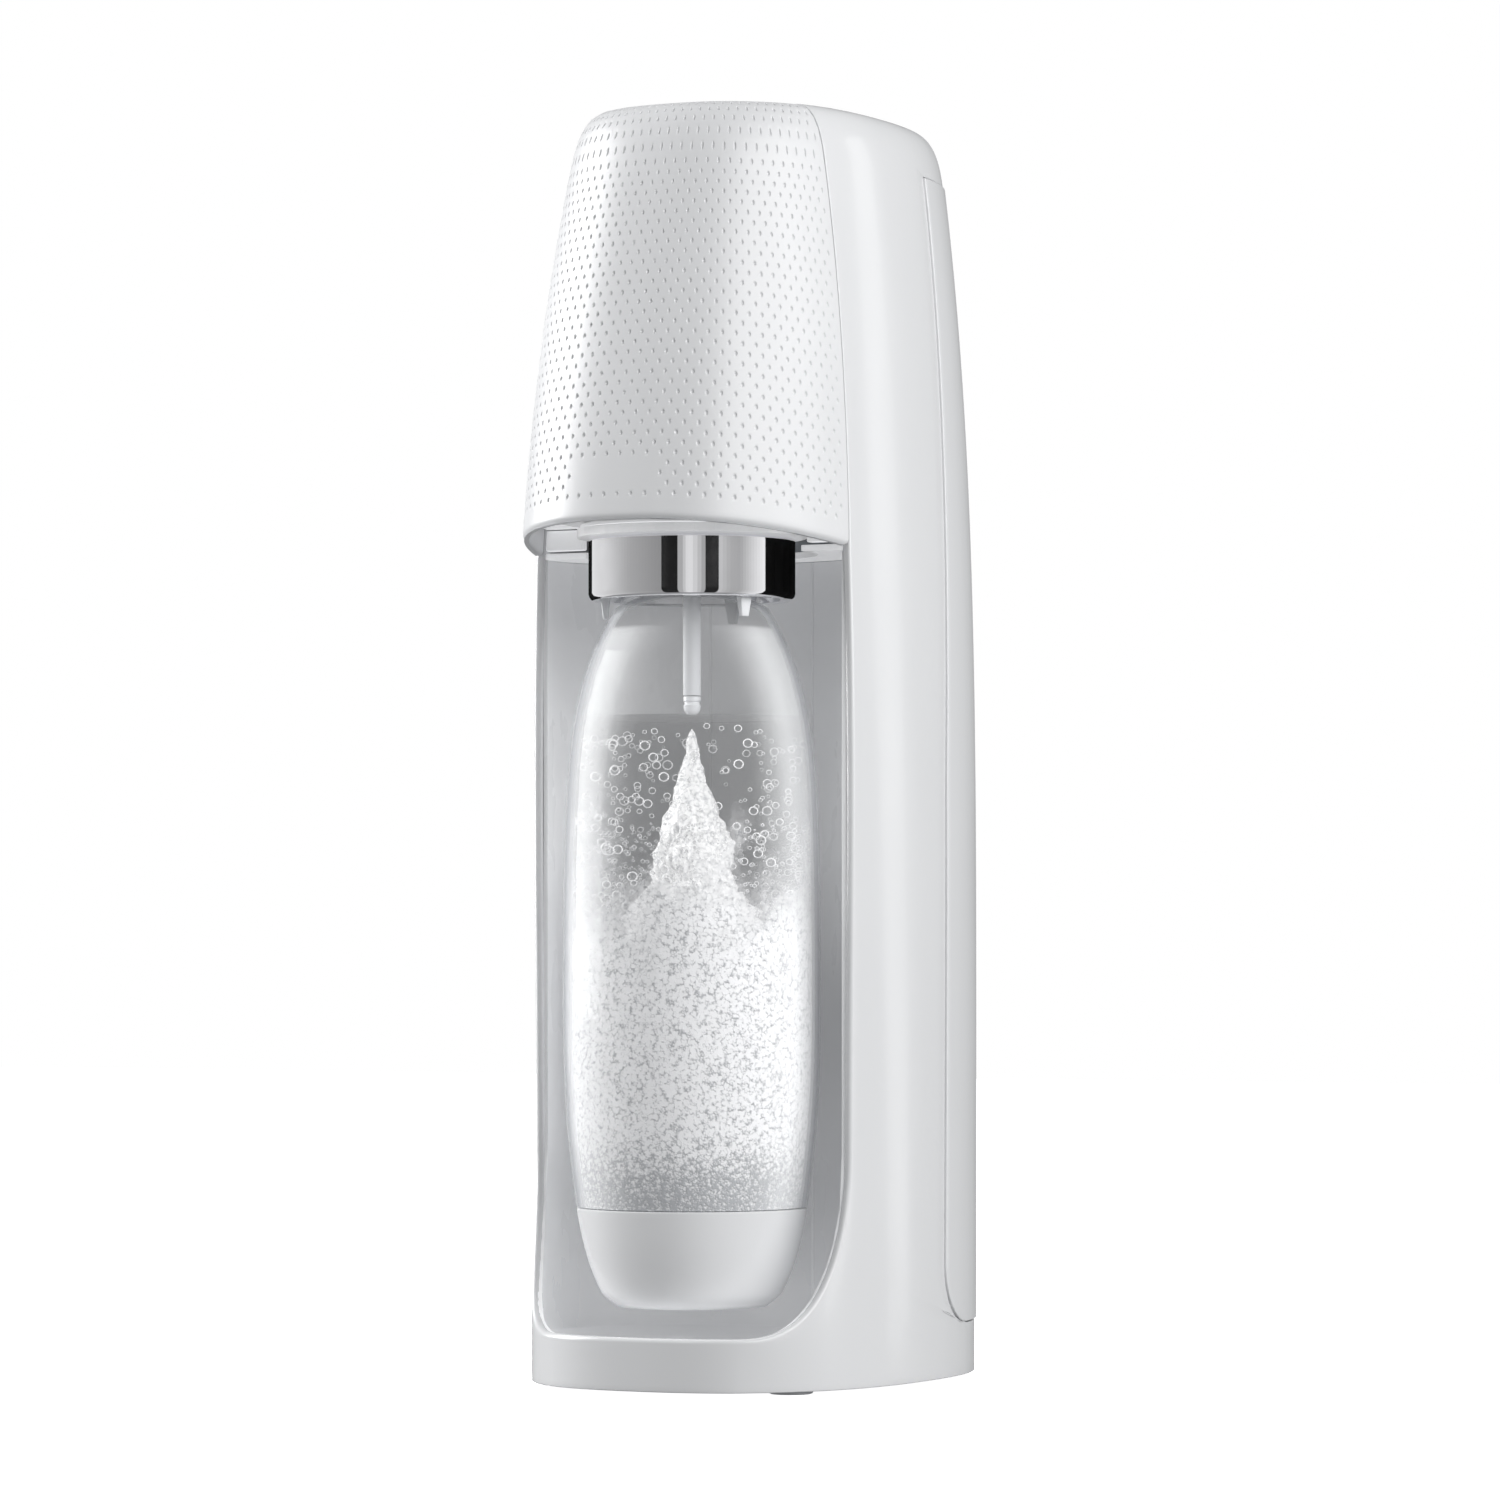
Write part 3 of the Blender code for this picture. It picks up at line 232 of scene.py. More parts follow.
class Finish:
    """A material and its nodes. Fixed numbers go on the shader's own sockets."""

    def __init__(self, name, **fixed):
        self.material = bpy.data.materials.new(name)
        self.material.use_nodes = True
        self.tree = self.material.node_tree
        self.shader = self.tree.nodes["Principled BSDF"]
        for socket, value in fixed.items():
            self.shader.inputs[socket.replace("_", " ").title().replace("Ior", "IOR")].default_value = value

    def node(self, kind, settings=None, values=None, output=0):
        """Adds a node: its settings first, then its sockets' values or links. Returns one output."""
        made = self.tree.nodes.new(kind)
        for key, value in (settings or {}).items():
            if key == "stops":
                for stop, (place, colour) in zip(self.stops(made, len(value)), value):
                    stop.position = place
                    stop.color = colour if len(colour) == 4 else (*colour, 1.0)
            else:
                setattr(made, key, value)
        for socket, value in (values or {}).items():
            if isinstance(value, Value):
                self.tree.links.new(value.output, made.inputs[socket])
            else:
                made.inputs[socket].default_value = value
        return Value(self, made.outputs[output])

    def stops(self, ramp, count):
        elements = ramp.color_ramp.elements
        while len(elements) < count:
            elements.new(0.5)
        return elements

    def drive(self, socket, value):
        self.tree.links.new(value.output, self.shader.inputs[socket])
        return self

    def place(self, scale=(1, 1, 1), centre=(0, 0, 0)):
        """Object coordinates, moved and scaled."""
        spot = self.node("ShaderNodeTexCoord", output="Object")
        return self.node("ShaderNodeMapping", None, {"Vector": spot, "Location": centre, "Scale": scale})

    def height(self):
        spot = self.node("ShaderNodeTexCoord", output="Object")
        return self.node("ShaderNodeSeparateXYZ", None, {0: spot}, output="Z")

    def noise(self, scale, detail=2.0, stretch=(1, 1, 1)):
        return self.node("ShaderNodeTexNoise", None,
                         {"Vector": self.place(stretch), "Scale": scale, "Detail": detail}, output="Fac")

    def cells(self, scale, feature="F1", output="Distance", stretch=(1, 1, 1), seed=(0, 0, 0)):
        return self.node("ShaderNodeTexVoronoi", {"feature": feature},
                         {"Vector": self.place(stretch, seed), "Scale": scale}, output=output)

    def tint(self, amount, low, high):
        """A colour between two others."""
        return self.node("ShaderNodeMix", {"data_type": "RGBA"},
                         {0: amount, 6: (*low, 1.0), 7: (*high, 1.0)}, output=2)

    def between(self, value, low, high, to_low=0.0, to_high=1.0):
        """A value taken from one range to another, and kept inside it."""
        return self.node("ShaderNodeMapRange", {"clamp": True, "interpolation_type": "SMOOTHSTEP"},
                         {0: value, 1: low, 2: high, 3: to_low, 4: to_high})

    def relief(self, height, depth, strength=1.0):
        """A bump of that depth in metres."""
        return self.drive("Normal", self.node(
            "ShaderNodeBump", None, {"Height": height, "Distance": depth, "Strength": strength}))


def shade(colour, factor):
    return tuple(min(1.0, channel * factor) for channel in colour)


def lit_up(made, colour, strength):
    """Paints light into a finish: an emission in the given colour that brightens it where the lamps leave it
    in shade.
    """
    made.shader.inputs["Emission Strength"].default_value = strength
    made.drive("Emission Color", colour)


def moulded(name, colour, roughness, grain=0.5, coat=0.0, lift=0.0, fade=(0.012, 0.120)):
    """Moulded plastic: a barely uneven gloss, a faint orange peel and the slightest colour drift.
    Lift is painted light: a glow in its own colour, full below the heights in fade and much dimmer above
    them, that lightens shaded parts."""
    made = Finish(name, roughness=roughness, ior=1.48, coat_weight=coat, coat_roughness=0.08)
    # Painted light: the lift's glow brightens the shaded low parts.
    if lift:
        lit_up(made, made.tint(made.between(made.height(), *fade), colour, shade(colour, 0.15)), lift)
    drift = made.noise(14.0, 3.0)
    made.drive("Base Color", made.tint(drift, shade(colour, 0.985), shade(colour, 1.015)))
    smear = made.noise(60.0, 4.0, (1, 1, 0.35))
    made.drive("Roughness", made.between(smear, 0.3, 0.7, roughness * 0.88, roughness * 1.14))
    peel = made.noise(850.0, 2.0) * 0.7 + made.noise(170.0, 2.0) * 0.3
    made.relief(peel, 0.00010 * grain, 0.5)
    return made.material


def satin_plastic(name, colour, roughness, grain_scale=1400.0):
    """Plastic with a fine eroded texture, as on hidden frames and covers."""
    made = Finish(name, roughness=roughness, ior=1.46)
    drift = made.noise(22.0, 3.0)
    made.drive("Base Color", made.tint(drift, shade(colour, 0.95), shade(colour, 1.04)))
    grain = made.cells(grain_scale)
    made.drive("Roughness", made.between(grain, 0.1, 0.7, roughness * 0.9, min(1.0, roughness * 1.15)))
    made.relief(grain, 0.00006, 0.6)
    return made.material


def plated(name, colour):
    """Bright plating with a breath of haze and hair-fine rubbing round the ring."""
    made = Finish(name, metallic=1.0, roughness=0.05)
    haze = made.noise(90.0, 5.0)
    rub = made.noise(420.0, 2.0, (1, 1, 9))
    made.drive("Base Color", made.tint(haze, shade(colour, 0.96), shade(colour, 1.02)))
    made.drive("Roughness", made.between(haze * 0.6 + rub * 0.4, 0.3, 0.75, 0.035, 0.085))
    made.relief(rub, 0.000004, 0.3)
    return made.material


def machined(name, colour, roughness, stretch=(1, 1, 12)):
    """Turned or drawn metal, with tool marks and darker handling stains."""
    made = Finish(name, metallic=1.0, roughness=roughness)
    marks = made.noise(700.0, 3.0, stretch)
    stain = made.noise(48.0, 4.0)
    made.drive("Base Color", made.tint(made.between(stain, 0.35, 0.75), colour, shade(colour, 0.78)))
    made.drive("Roughness", made.between(marks, 0.25, 0.75, roughness * 0.75, roughness * 1.35))
    made.relief(marks, 0.00002, 0.5)
    return made.material


def enamelled(name, colour):
    """The gas cylinder's stoved paint, scuffed along its height where it slides in and out."""
    made = Finish(name, roughness=0.32, ior=1.5, coat_weight=0.3, coat_roughness=0.15)
    flake = made.cells(2600.0)
    scuff = made.noise(260.0, 5.0, (1, 1, 0.06))
    worn = made.between(scuff, 0.66, 0.74)
    painted = made.tint(flake, shade(colour, 0.94), shade(colour, 1.05))
    made.drive("Base Color", made.node("ShaderNodeMix", {"data_type": "RGBA"},
                                       {0: worn, 6: painted, 7: (0.42, 0.43, 0.45, 1)}, output=2))
    made.drive("Roughness", made.between(scuff, 0.3, 0.8, 0.26, 0.52))
    made.relief(made.noise(500.0, 3.0), 0.00004, 0.5)
    return made.material


def rubbered(name):
    made = Finish(name, roughness=0.75, ior=1.45)
    dust = made.noise(160.0, 5.0)
    bloom = made.between(dust, 0.4, 0.8)
    made.drive("Base Color", made.tint(bloom, (0.035, 0.035, 0.038), (0.09, 0.09, 0.09)))
    made.drive("Roughness", made.between(dust, 0.3, 0.8, 0.66, 0.9))
    made.relief(made.cells(1500.0), 0.00008, 0.7)
    return made.material


def facing(made, blend):
    return made.node("ShaderNodeLayerWeight", None, {"Blend": blend}, output="Facing")


def clear_wall(name):
    """The bottle's clear wall: nearly nothing face on, a painted reflection as a bright stripe either side,
    and a grey edge painted as the wall's shade seen edge-on.
    """
    made = Finish(name, roughness=0.04, ior=1.28)
    edge = facing(made, 0.5)
    # Painted reflection: a bright stripe either side, stopped at the shoulder; the grey rim is painted shade.
    reflection_band = made.between(edge, 0.10, 0.42) * made.between(edge, 0.62, 0.70, 1.0, 0.0)
    reflection_band = reflection_band * made.between(made.height(), 0.2505, 0.2525, 1.0, 0.0)
    rim = made.between(edge, 0.62, 0.74)
    ripple = made.noise(38.0, 3.0, (1, 1, 0.25))
    tone = made.tint(rim, (0.95, 0.96, 0.97), (0.50, 0.51, 0.53))
    made.drive("Base Color", tone)
    # Painted light: a faint glow in the wall's tone.
    lit_up(made, tone, 0.08)
    made.drive("Alpha", reflection_band * 0.22 + rim * 0.55 + 0.035)
    made.drive("Roughness", made.between(ripple, 0.3, 0.7, 0.03, 0.06))
    made.relief(ripple, 0.00025, 0.5)
    return made.material


def water(name):
    """Charged water: faintly grey, and clouded with fine gas towards the bottom."""
    made = Finish(name, roughness=0.05, ior=1.18)
    z = made.height()
    cloud = made.noise(48.0, 4.0, (1, 1, 0.8))
    grain = made.cells(620.0)
    fine = made.cells(1300.0, seed=(0.3, 0.1, 0.2))
    deep = made.between(z + (cloud - 0.5) * 0.11, 0.184, 0.140)
    bed = made.between(z, 0.088, 0.062, 0.0, 0.26)
    speckle = made.between(grain * 0.55 + fine * 0.45 + bed, 0.46, 0.90)
    tone = made.tint(speckle, (0.92, 0.92, 0.93), (0.47, 0.48, 0.50))
    made.drive("Base Color", tone)
    # Painted light: a faint glow in the water's tone, lifting it out of the niche's shade.
    lit_up(made, tone, 0.10)
    edge = made.between(facing(made, 0.5), 0.3, 1.0, 0.06, 0.22)
    made.drive("Alpha", edge + deep * 0.90 * (1 - edge))
    made.drive("Roughness", made.between(deep, 0.0, 1.0, 0.04, 0.45))
    made.relief(speckle * deep, 0.0006, 0.8)
    return made.material


def gas(name, core, rim, low_alpha, high_alpha):
    """A bubble: see-through in the middle, with a painted highlight for its bright rim and a faint painted
    glow.
    """
    made = Finish(name, roughness=0.08, ior=1.2)
    edge = facing(made, 0.5)
    # Painted highlight: the tone runs to the rim colour towards the edges.
    tone = made.tint(made.between(edge, 0.2, 0.7), core, rim)
    made.drive("Base Color", tone)
    lit_up(made, tone, 0.16)
    made.drive("Alpha", made.between(edge, 0.22, 0.6, low_alpha, high_alpha))
    made.drive("Roughness", made.between(made.noise(900.0), 0.3, 0.7, 0.05, 0.12))
    return made.material


def foam(name):
    """The jet of foam: packed white grains, frayed at its edge."""
    made = Finish(name, roughness=0.5, ior=1.2)
    z = made.height()
    grain = made.cells(700.0)
    fine = made.cells(1500.0, seed=(0.4, 0.2, 0.1))
    drift = made.noise(85.0, 5.0, (1, 1, 0.6))
    speckle = made.between(grain * 0.6 + fine * 0.4, 0.42, 0.95)
    tone = made.tint(speckle, (1.0, 1.0, 1.0), (0.66, 0.67, 0.69))
    made.drive("Base Color", tone)
    # Painted light: a faint glow in the foam's tone, to brighten it in the niche's shade.
    lit_up(made, tone, 0.15)
    frayed = made.between(drift + made.between(z, 0.13, 0.215, 0.0, 0.30), 0.34, 0.50)
    made.drive("Alpha", made.between(frayed - facing(made, 0.35) * 0.75, 0.0, 0.7, 0.0, 0.92))
    made.drive("Roughness", made.between(grain, 0.1, 0.6, 0.35, 0.6))
    made.relief(speckle, 0.0007, 0.8)
    return made.material


# ---- Making and shaping meshes ----------------------------------------------
def clear_selection():
    if bpy.context.mode != "OBJECT":
        bpy.ops.object.mode_set(mode="OBJECT")
    bpy.ops.object.select_all(action="DESELECT")


def pick(*objects):
    clear_selection()
    for obj in objects:
        obj.select_set(True)
    bpy.context.view_layer.objects.active = objects[0]
    return objects[0]


@contextmanager
def editing(obj):
    pick(obj)
    bpy.ops.object.mode_set(mode="EDIT")
    yield obj.data
    bpy.ops.object.mode_set(mode="OBJECT")


def choose(obj, kind, test):
    """Selects the vertices, edges or faces that test picks, and nothing else."""
    mesh = obj.data
    for group in (mesh.vertices, mesh.edges, mesh.polygons):
        group.foreach_set("select", [False] * len(group))
    group = {"VERT": mesh.vertices, "EDGE": mesh.edges, "FACE": mesh.polygons}[kind]
    found = 0
    for item in group:
        item.select = test(item)
        found += item.select
    bpy.context.tool_settings.mesh_select_mode = (kind == "VERT", kind == "EDGE", kind == "FACE")
    return found


def added(name):
    obj = bpy.context.active_object
    obj.name = obj.data.name = name
    return obj


def grid(name, columns):
    """A grid with one line of vertices through the points of each column."""
    across, along = len(columns) - 1, len(columns[0]) - 1
    clear_selection()
    bpy.ops.mesh.primitive_grid_add(x_subdivisions=across, y_subdivisions=along, size=2)
    obj = added(name)
    for vert in obj.data.vertices:
        i = round((vert.co.x + 1) / 2 * across)
        j = round((vert.co.y + 1) / 2 * along)
        vert.co = columns[i][j]
    return obj


def join(name, *objects):
    pick(*objects)
    if len(objects) > 1:
        bpy.ops.object.join()
    return added(name)


def weld(obj, distance=0.00002):
    with editing(obj):
        bpy.ops.mesh.select_all(action="SELECT")
        bpy.ops.mesh.remove_doubles(threshold=distance)
        bpy.ops.mesh.dissolve_degenerate(threshold=distance / 4)
    return obj


def face_out(obj, probe=None):
    """Turns every face outwards. An open sheet is judged by its distance from the probe point."""
    with editing(obj):
        bpy.ops.mesh.select_all(action="SELECT")
        bpy.ops.mesh.normals_make_consistent(inside=False)
    if probe is not None:
        away = sum((face.center - Vector(probe)).dot(face.normal) * face.area for face in obj.data.polygons)
        if away < 0:
            with editing(obj):
                bpy.ops.mesh.select_all(action="SELECT")
                bpy.ops.mesh.flip_normals()
    return obj


def modify(obj, kind, **settings):
    """Adds a modifier, sets it and applies it."""
    pick(obj)
    made = obj.modifiers.new(kind.title(), kind)
    for key, value in settings.items():
        setattr(made, key, value)
    bpy.ops.object.modifier_apply(modifier=made.name)
    return obj


def mirror_halves(obj):
    modify(obj, "MIRROR", use_axis=(True, False, False), use_clip=True, merge_threshold=0.00002)
    return obj


def thicken(obj, wall, even=True):
    return modify(obj, "SOLIDIFY", thickness=wall, offset=-1, use_even_offset=even, use_quality_normals=True)


def round_rims(obj, width, weight_of, segments=3, angle=50):
    """Bevels the sharp edges, each as wide as weight_of(its middle) says, as a share of width."""
    mesh = obj.data
    owners = {}
    for face in mesh.polygons:
        for key in face.edge_keys:
            owners.setdefault(key, []).append(face.normal)
    weights = mesh.attributes.new("bevel_weight_edge", "FLOAT", "EDGE")
    for edge in mesh.edges:
        sides = owners.get(tuple(sorted(edge.vertices)), [])
        share = 0.0
        if len(sides) == 2 and sides[0].length > 0 and sides[1].length > 0:
            if sides[0].angle(sides[1]) > math.radians(angle):
                middle = (mesh.vertices[edge.vertices[0]].co + mesh.vertices[edge.vertices[1]].co) / 2
                share = weight_of(middle)
        weights.data[edge.index].value = share
    return modify(obj, "BEVEL", limit_method="WEIGHT", width=width, segments=segments,
                  use_clamp_overlap=False, profile=0.5, miter_outer="MITER_ARC")


def turned(name, profile, x=0.0, y=BOTTLE_Y, segments=96, ring=False):
    """Spun from (radius, height) points. A zero radius at either end closes it; a ring closes on itself."""
    start_pole = profile[0][0] == 0
    first = 1 if start_pole else 0
    radius, height = profile[first]
    clear_selection()
    bpy.ops.mesh.primitive_circle_add(
        vertices=segments, radius=radius, location=(x, y, height),
        fill_type="TRIFAN" if start_pole else "NOTHING")
    obj = added(name)
    bpy.ops.object.transform_apply(location=True, rotation=True, scale=True)
    if start_pole:
        middle = min(obj.data.vertices, key=lambda v: (v.co.x - x) ** 2 + (v.co.y - y) ** 2)
        middle.co.z = profile[0][1]
    points = obj.data.vertices
    choose(obj, "EDGE", lambda edge: all(
        math.hypot(points[i].co.x - x, points[i].co.y - y) > radius * 0.5 for i in edge.vertices))
    stops = list(profile[first + 1:]) + ([profile[0]] if ring else [])
    with editing(obj):
        for next_radius, next_height in stops:
            bpy.ops.mesh.extrude_region_move(TRANSFORM_OT_translate={"value": (0, 0, next_height - height)})
            if next_radius == 0:
                bpy.ops.mesh.merge(type="CENTER")
            elif next_radius != radius:
                scale = next_radius / radius
                bpy.ops.transform.resize(value=(scale, scale, 1), center_override=(x, y, next_height))
            radius, height = next_radius, next_height
    weld(obj, 0.000002)
    return face_out(obj)


def finished(obj, material, slot, body, *nodes, angle=35):
    """Gives a piece its finish and places it: which body it rides and which solids it stands for."""
    pick(obj)
    bpy.ops.object.transform_apply(location=True, rotation=True, scale=True)
    bpy.ops.object.shade_smooth_by_angle(angle=math.radians(angle))
    obj.data.materials.clear()
    obj.data.materials.append(material)
    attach(obj, body)
    if nodes:
        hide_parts(*nodes)
    return obj


def moved(obj):
    """Takes a piece made about the case's centre line to its place in the frame."""
    obj.data.transform(Matrix.Translation((0, CENTRE_Y, 0)))
    return obj


def spread(start, end, steps):
    return [start + (end - start) * i / steps for i in range(steps + 1)]


# ---- The case's surface -----------------------------------------------------
def taper(z, power):
    return max(0.0, (z - TAPER_START) / (CASE_HEIGHT - TAPER_START)) ** power


def half_width(z):
    return CASE_HALF_WIDTH - CASE_TAPER * taper(z, CASE_TAPER_POWER)


def front_reach(z):
    if z >= HEAD_BOTTOM:
        rise = (z - HEAD_BOTTOM) / (CASE_HEIGHT - HEAD_BOTTOM)
        return HEAD_FRONT - HEAD_SLOPE * rise - HEAD_CURVE * rise * rise
    step = min(1.0, max(0.0, (z - SWEEP_HEIGHT) / (HEAD_BOTTOM - SWEEP_HEIGHT)))
    return BASE_FRONT + (HEAD_FRONT - BASE_FRONT) * step * step * (3 - 2 * step)


def back_reach(z):
    return CASE_BACK - BACK_TAPER * taper(z, BACK_TAPER_POWER)


def section(level):
    """Half width, front and back reach and height at a level, which runs on over the rounded top."""
    if level <= SHOULDER:
        return half_width(level), front_reach(level), back_reach(level), level
    turn = min(1.0, (level - SHOULDER) / TOP_ROUND) * math.pi / 2
    cosine = max(0.0, math.cos(turn))
    shrink = 1 - TOP_SHRINK * (1 - cosine**TOP_POWER)
    z = SHOULDER + TOP_ROUND * math.sin(turn) ** TOP_POWER
    return half_width(z) * shrink, front_reach(z) * shrink, back_reach(z) * shrink, z


def plan_angle(y, reach):
    return math.copysign(math.asin(min(1.0, (abs(y) / reach) ** (PLAN_POWER / 2))), y)


def on_angle(angle, level, proud=0.0):
    """A point of the case, by its angle in plan: -90 degrees is the front and +90 the back."""
    half, front, back, z = section(level)
    c, s = max(0.0, math.cos(angle)), math.sin(angle)
    reach = (back if s > 0 else front) + proud
    x = (half + proud) * c ** (2 / PLAN_POWER)
    return Vector((x, math.copysign(reach * abs(s) ** (2 / PLAN_POWER), s), z))


def on_y(y, level, proud=0.0):
    half, front, back, z = section(level)
    reach = (back if y > 0 else front) + proud
    share = max(0.0, 1 - (abs(y) / reach) ** PLAN_POWER)
    return Vector(((half + proud) * share ** (1 / PLAN_POWER), y, z))


def seam_y(z):
    return OPENING_Y + SEAM_LEAN * max(0.0, z - NICHE_TOP)


def cover_y(z):
    if z <= COVER_SEAM[0][0]:
        return COVER_SEAM[0][1]
    for (low, low_y), (high, high_y) in zip(COVER_SEAM, COVER_SEAM[1:]):
        if z <= high:
            return low_y + (high_y - low_y) * (z - low) / (high - low)
    return COVER_SEAM[-1][1]


def to_middle(column, steps=8):
    """Points from a column's last one across the flat top to the middle plane."""
    last = column[-1]
    return [Vector((last.x * (1 - i / steps), last.y, last.z)) for i in range(1, steps + 1)]


SHARES = (0, 0.10, 0.22, 0.36, 0.50, 0.64, 0.77, 0.89, 1)


def case_shell_halves():
    """The case's right half: a grid from the front lip to the rear seam, a skirt and a rear crown."""
    columns = []
    sweep_y = OPENING_Y - SWEEP_DEPTH
    start = plan_angle(sweep_y, front_reach(BASE_HEIGHT))
    for angle in spread(-math.pi / 2, start, 16)[:-1]:
        columns.append([on_angle(angle, BASE_HEIGHT + (CASE_BOTTOM - BASE_HEIGHT) * k) for k in SHARES])
    corner_y, corner_z = cover_y(0) + COVER_CORNER, COVER_SEAM[0][0]
    outer = [(sweep_y + (corner_y - sweep_y) * i / 14, CASE_BOTTOM) for i in range(15)]
    outer += [(corner_y, z) for z in spread(CASE_BOTTOM, BASE_HEIGHT, 4)[1:]]
    for turn in spread(math.pi / 2, 0, 8)[1:]:
        outer.append((cover_y(0) + COVER_CORNER * (1 - math.cos(turn)),
                      BASE_HEIGHT + (corner_z - BASE_HEIGHT) * (1 - math.sin(turn))))
    outer += [(cover_y(z), z) for z in spread(corner_z, BASE_HEIGHT + SWEEP_HEIGHT, 6)[1:]]
    for i, (far_y, far_z) in enumerate(outer):
        turn = math.pi / 2 * i / (len(outer) - 1)
        y = sweep_y + SWEEP_DEPTH * math.sin(turn)
        z = BASE_HEIGHT + SWEEP_HEIGHT * (1 - math.cos(turn))
        columns.append([on_y(y + (far_y - y) * k, z + (far_z - z) * k) for k in SHARES])
    levels = spread(BASE_HEIGHT + SWEEP_HEIGHT, NICHE_TOP, 18)[1:] + spread(NICHE_TOP, 0.406, 14)[1:]
    crown = spread(0.406, SHOULDER + TOP_ROUND, 14)[1:]
    for level in levels + crown:
        z = section(level)[3]
        near, far = seam_y(z), cover_y(z)
        columns.append([on_y(near + (far - near) * k, level) for k in SHARES])
    last = columns[-1]
    for i in range(1, 9):
        columns.append([Vector((p.x * (1 - i / 8), p.y, p.z)) for p in last])
    side = grid("case_side", columns)
    skirt = []
    for angle_share in spread(0, 1, 20):
        column = []
        for z in spread(CASE_BOTTOM, BASE_HEIGHT, 4):
            first = plan_angle(corner_y, back_reach(z))
            column.append(on_angle(first + (math.pi / 2 - first) * angle_share, z))
        skirt.append(column)
    rear = []
    for angle_share in spread(0, 1, 20):
        column = []
        for level in [0.406] + crown:
            back, z = section(level)[2:]
            first = plan_angle(cover_y(z), back)
            column.append(on_angle(first + (math.pi / 2 - first) * angle_share, level))
        rear.append(column + to_middle(column))
    return side, grid("case_skirt", skirt), grid("case_rear", rear)


class CARBONATOR_OT_case_shell(bpy.types.Operator):
    """Makes the white case with its rounded front lip"""

    bl_idname = "carbonator.case_shell"
    bl_label = "Case shell"

    def execute(self, context):
        sizes = context.scene.carbonator_case
        shell = weld(join("case_shell", *case_shell_halves()))
        face_out(shell, (0, 0, 0.2))
        mirror_halves(shell)
        thicken(shell, sizes.wall, even=False)

        def weight(middle):
            if middle.z > COVER_TOP + 0.004 and middle.y > seam_y(middle.z) + 0.004:
                return 0.0
            lip = middle.y < 0.004 and middle.z > 0.004 and middle.z < NICHE_TOP
            return 1.0 if lip else sizes.seam_round / sizes.lip_round

        round_rims(shell, sizes.lip_round, weight, segments=4)
        finished(moved(shell), finishes["case"], "case_white", "case", "body_shell")
        return {"FINISHED"}


# ---- Niche and tray ---------------------------------------------------------
def niche_point(part, turn, tuck):
    """A point of the niche's plan, right half: its rear U, or the front that follows the case."""
    half, reach = CASE_HALF_WIDTH - LIP_WIDTH - tuck, BASE_FRONT - LIP_WIDTH - tuck
    if part == "front":
        return half * math.cos(turn) ** (2 / PLAN_POWER), -reach * math.sin(turn) ** (2 / PLAN_POWER)
    mouth = half * (1 - (-OPENING_Y / reach) ** PLAN_POWER) ** (1 / PLAN_POWER)
    c, s = max(0.0, math.cos(turn)), math.sin(turn)
    return mouth * c ** (2 / PLAN_POWER), OPENING_Y + (NICHE_DEPTH - tuck) * s ** (2 / PLAN_POWER)


def fillet(height):
    """How far the niche's wall is tucked in at a height over its floor."""
    if height >= NICHE_FILLET:
        return 0.0
    return NICHE_FILLET * (1 - math.sin(math.acos(max(-1.0, min(1.0, 1 - height / NICHE_FILLET)))))


LINER_BACK = 0.0015


def sweep_height(y):
    """The height of the front opening's edge over a place beside the tray, as the liner follows it."""
    share = (y - (OPENING_Y - SWEEP_DEPTH)) / (SWEEP_DEPTH + LINER_BACK)
    cosine = math.sqrt(max(0.0, 1 - min(1.0, max(0.0, share)) ** 2))
    return BASE_HEIGHT + SWEEP_HEIGHT - (SWEEP_HEIGHT + LINER_BACK) * cosine


def wall_column(part, turn, top, low_steps=7, high_steps=0, high=None):
    points = []
    limit = min(NICHE_FILLET, top - NICHE_FLOOR)
    last = math.acos(1 - limit / NICHE_FILLET)
    heights = [NICHE_FILLET * (1 - math.cos(a)) for a in spread(0, last, low_steps)]
    heights += spread(limit, top - NICHE_FLOOR, 5)[1:]
    if high:
        heights += spread(top - NICHE_FLOOR, high - NICHE_FLOOR, high_steps)[1:]
    for height in heights:
        x, y = niche_point(part, turn, fillet(height))
        points.append(Vector((x, y, NICHE_FLOOR + height)))
    return points


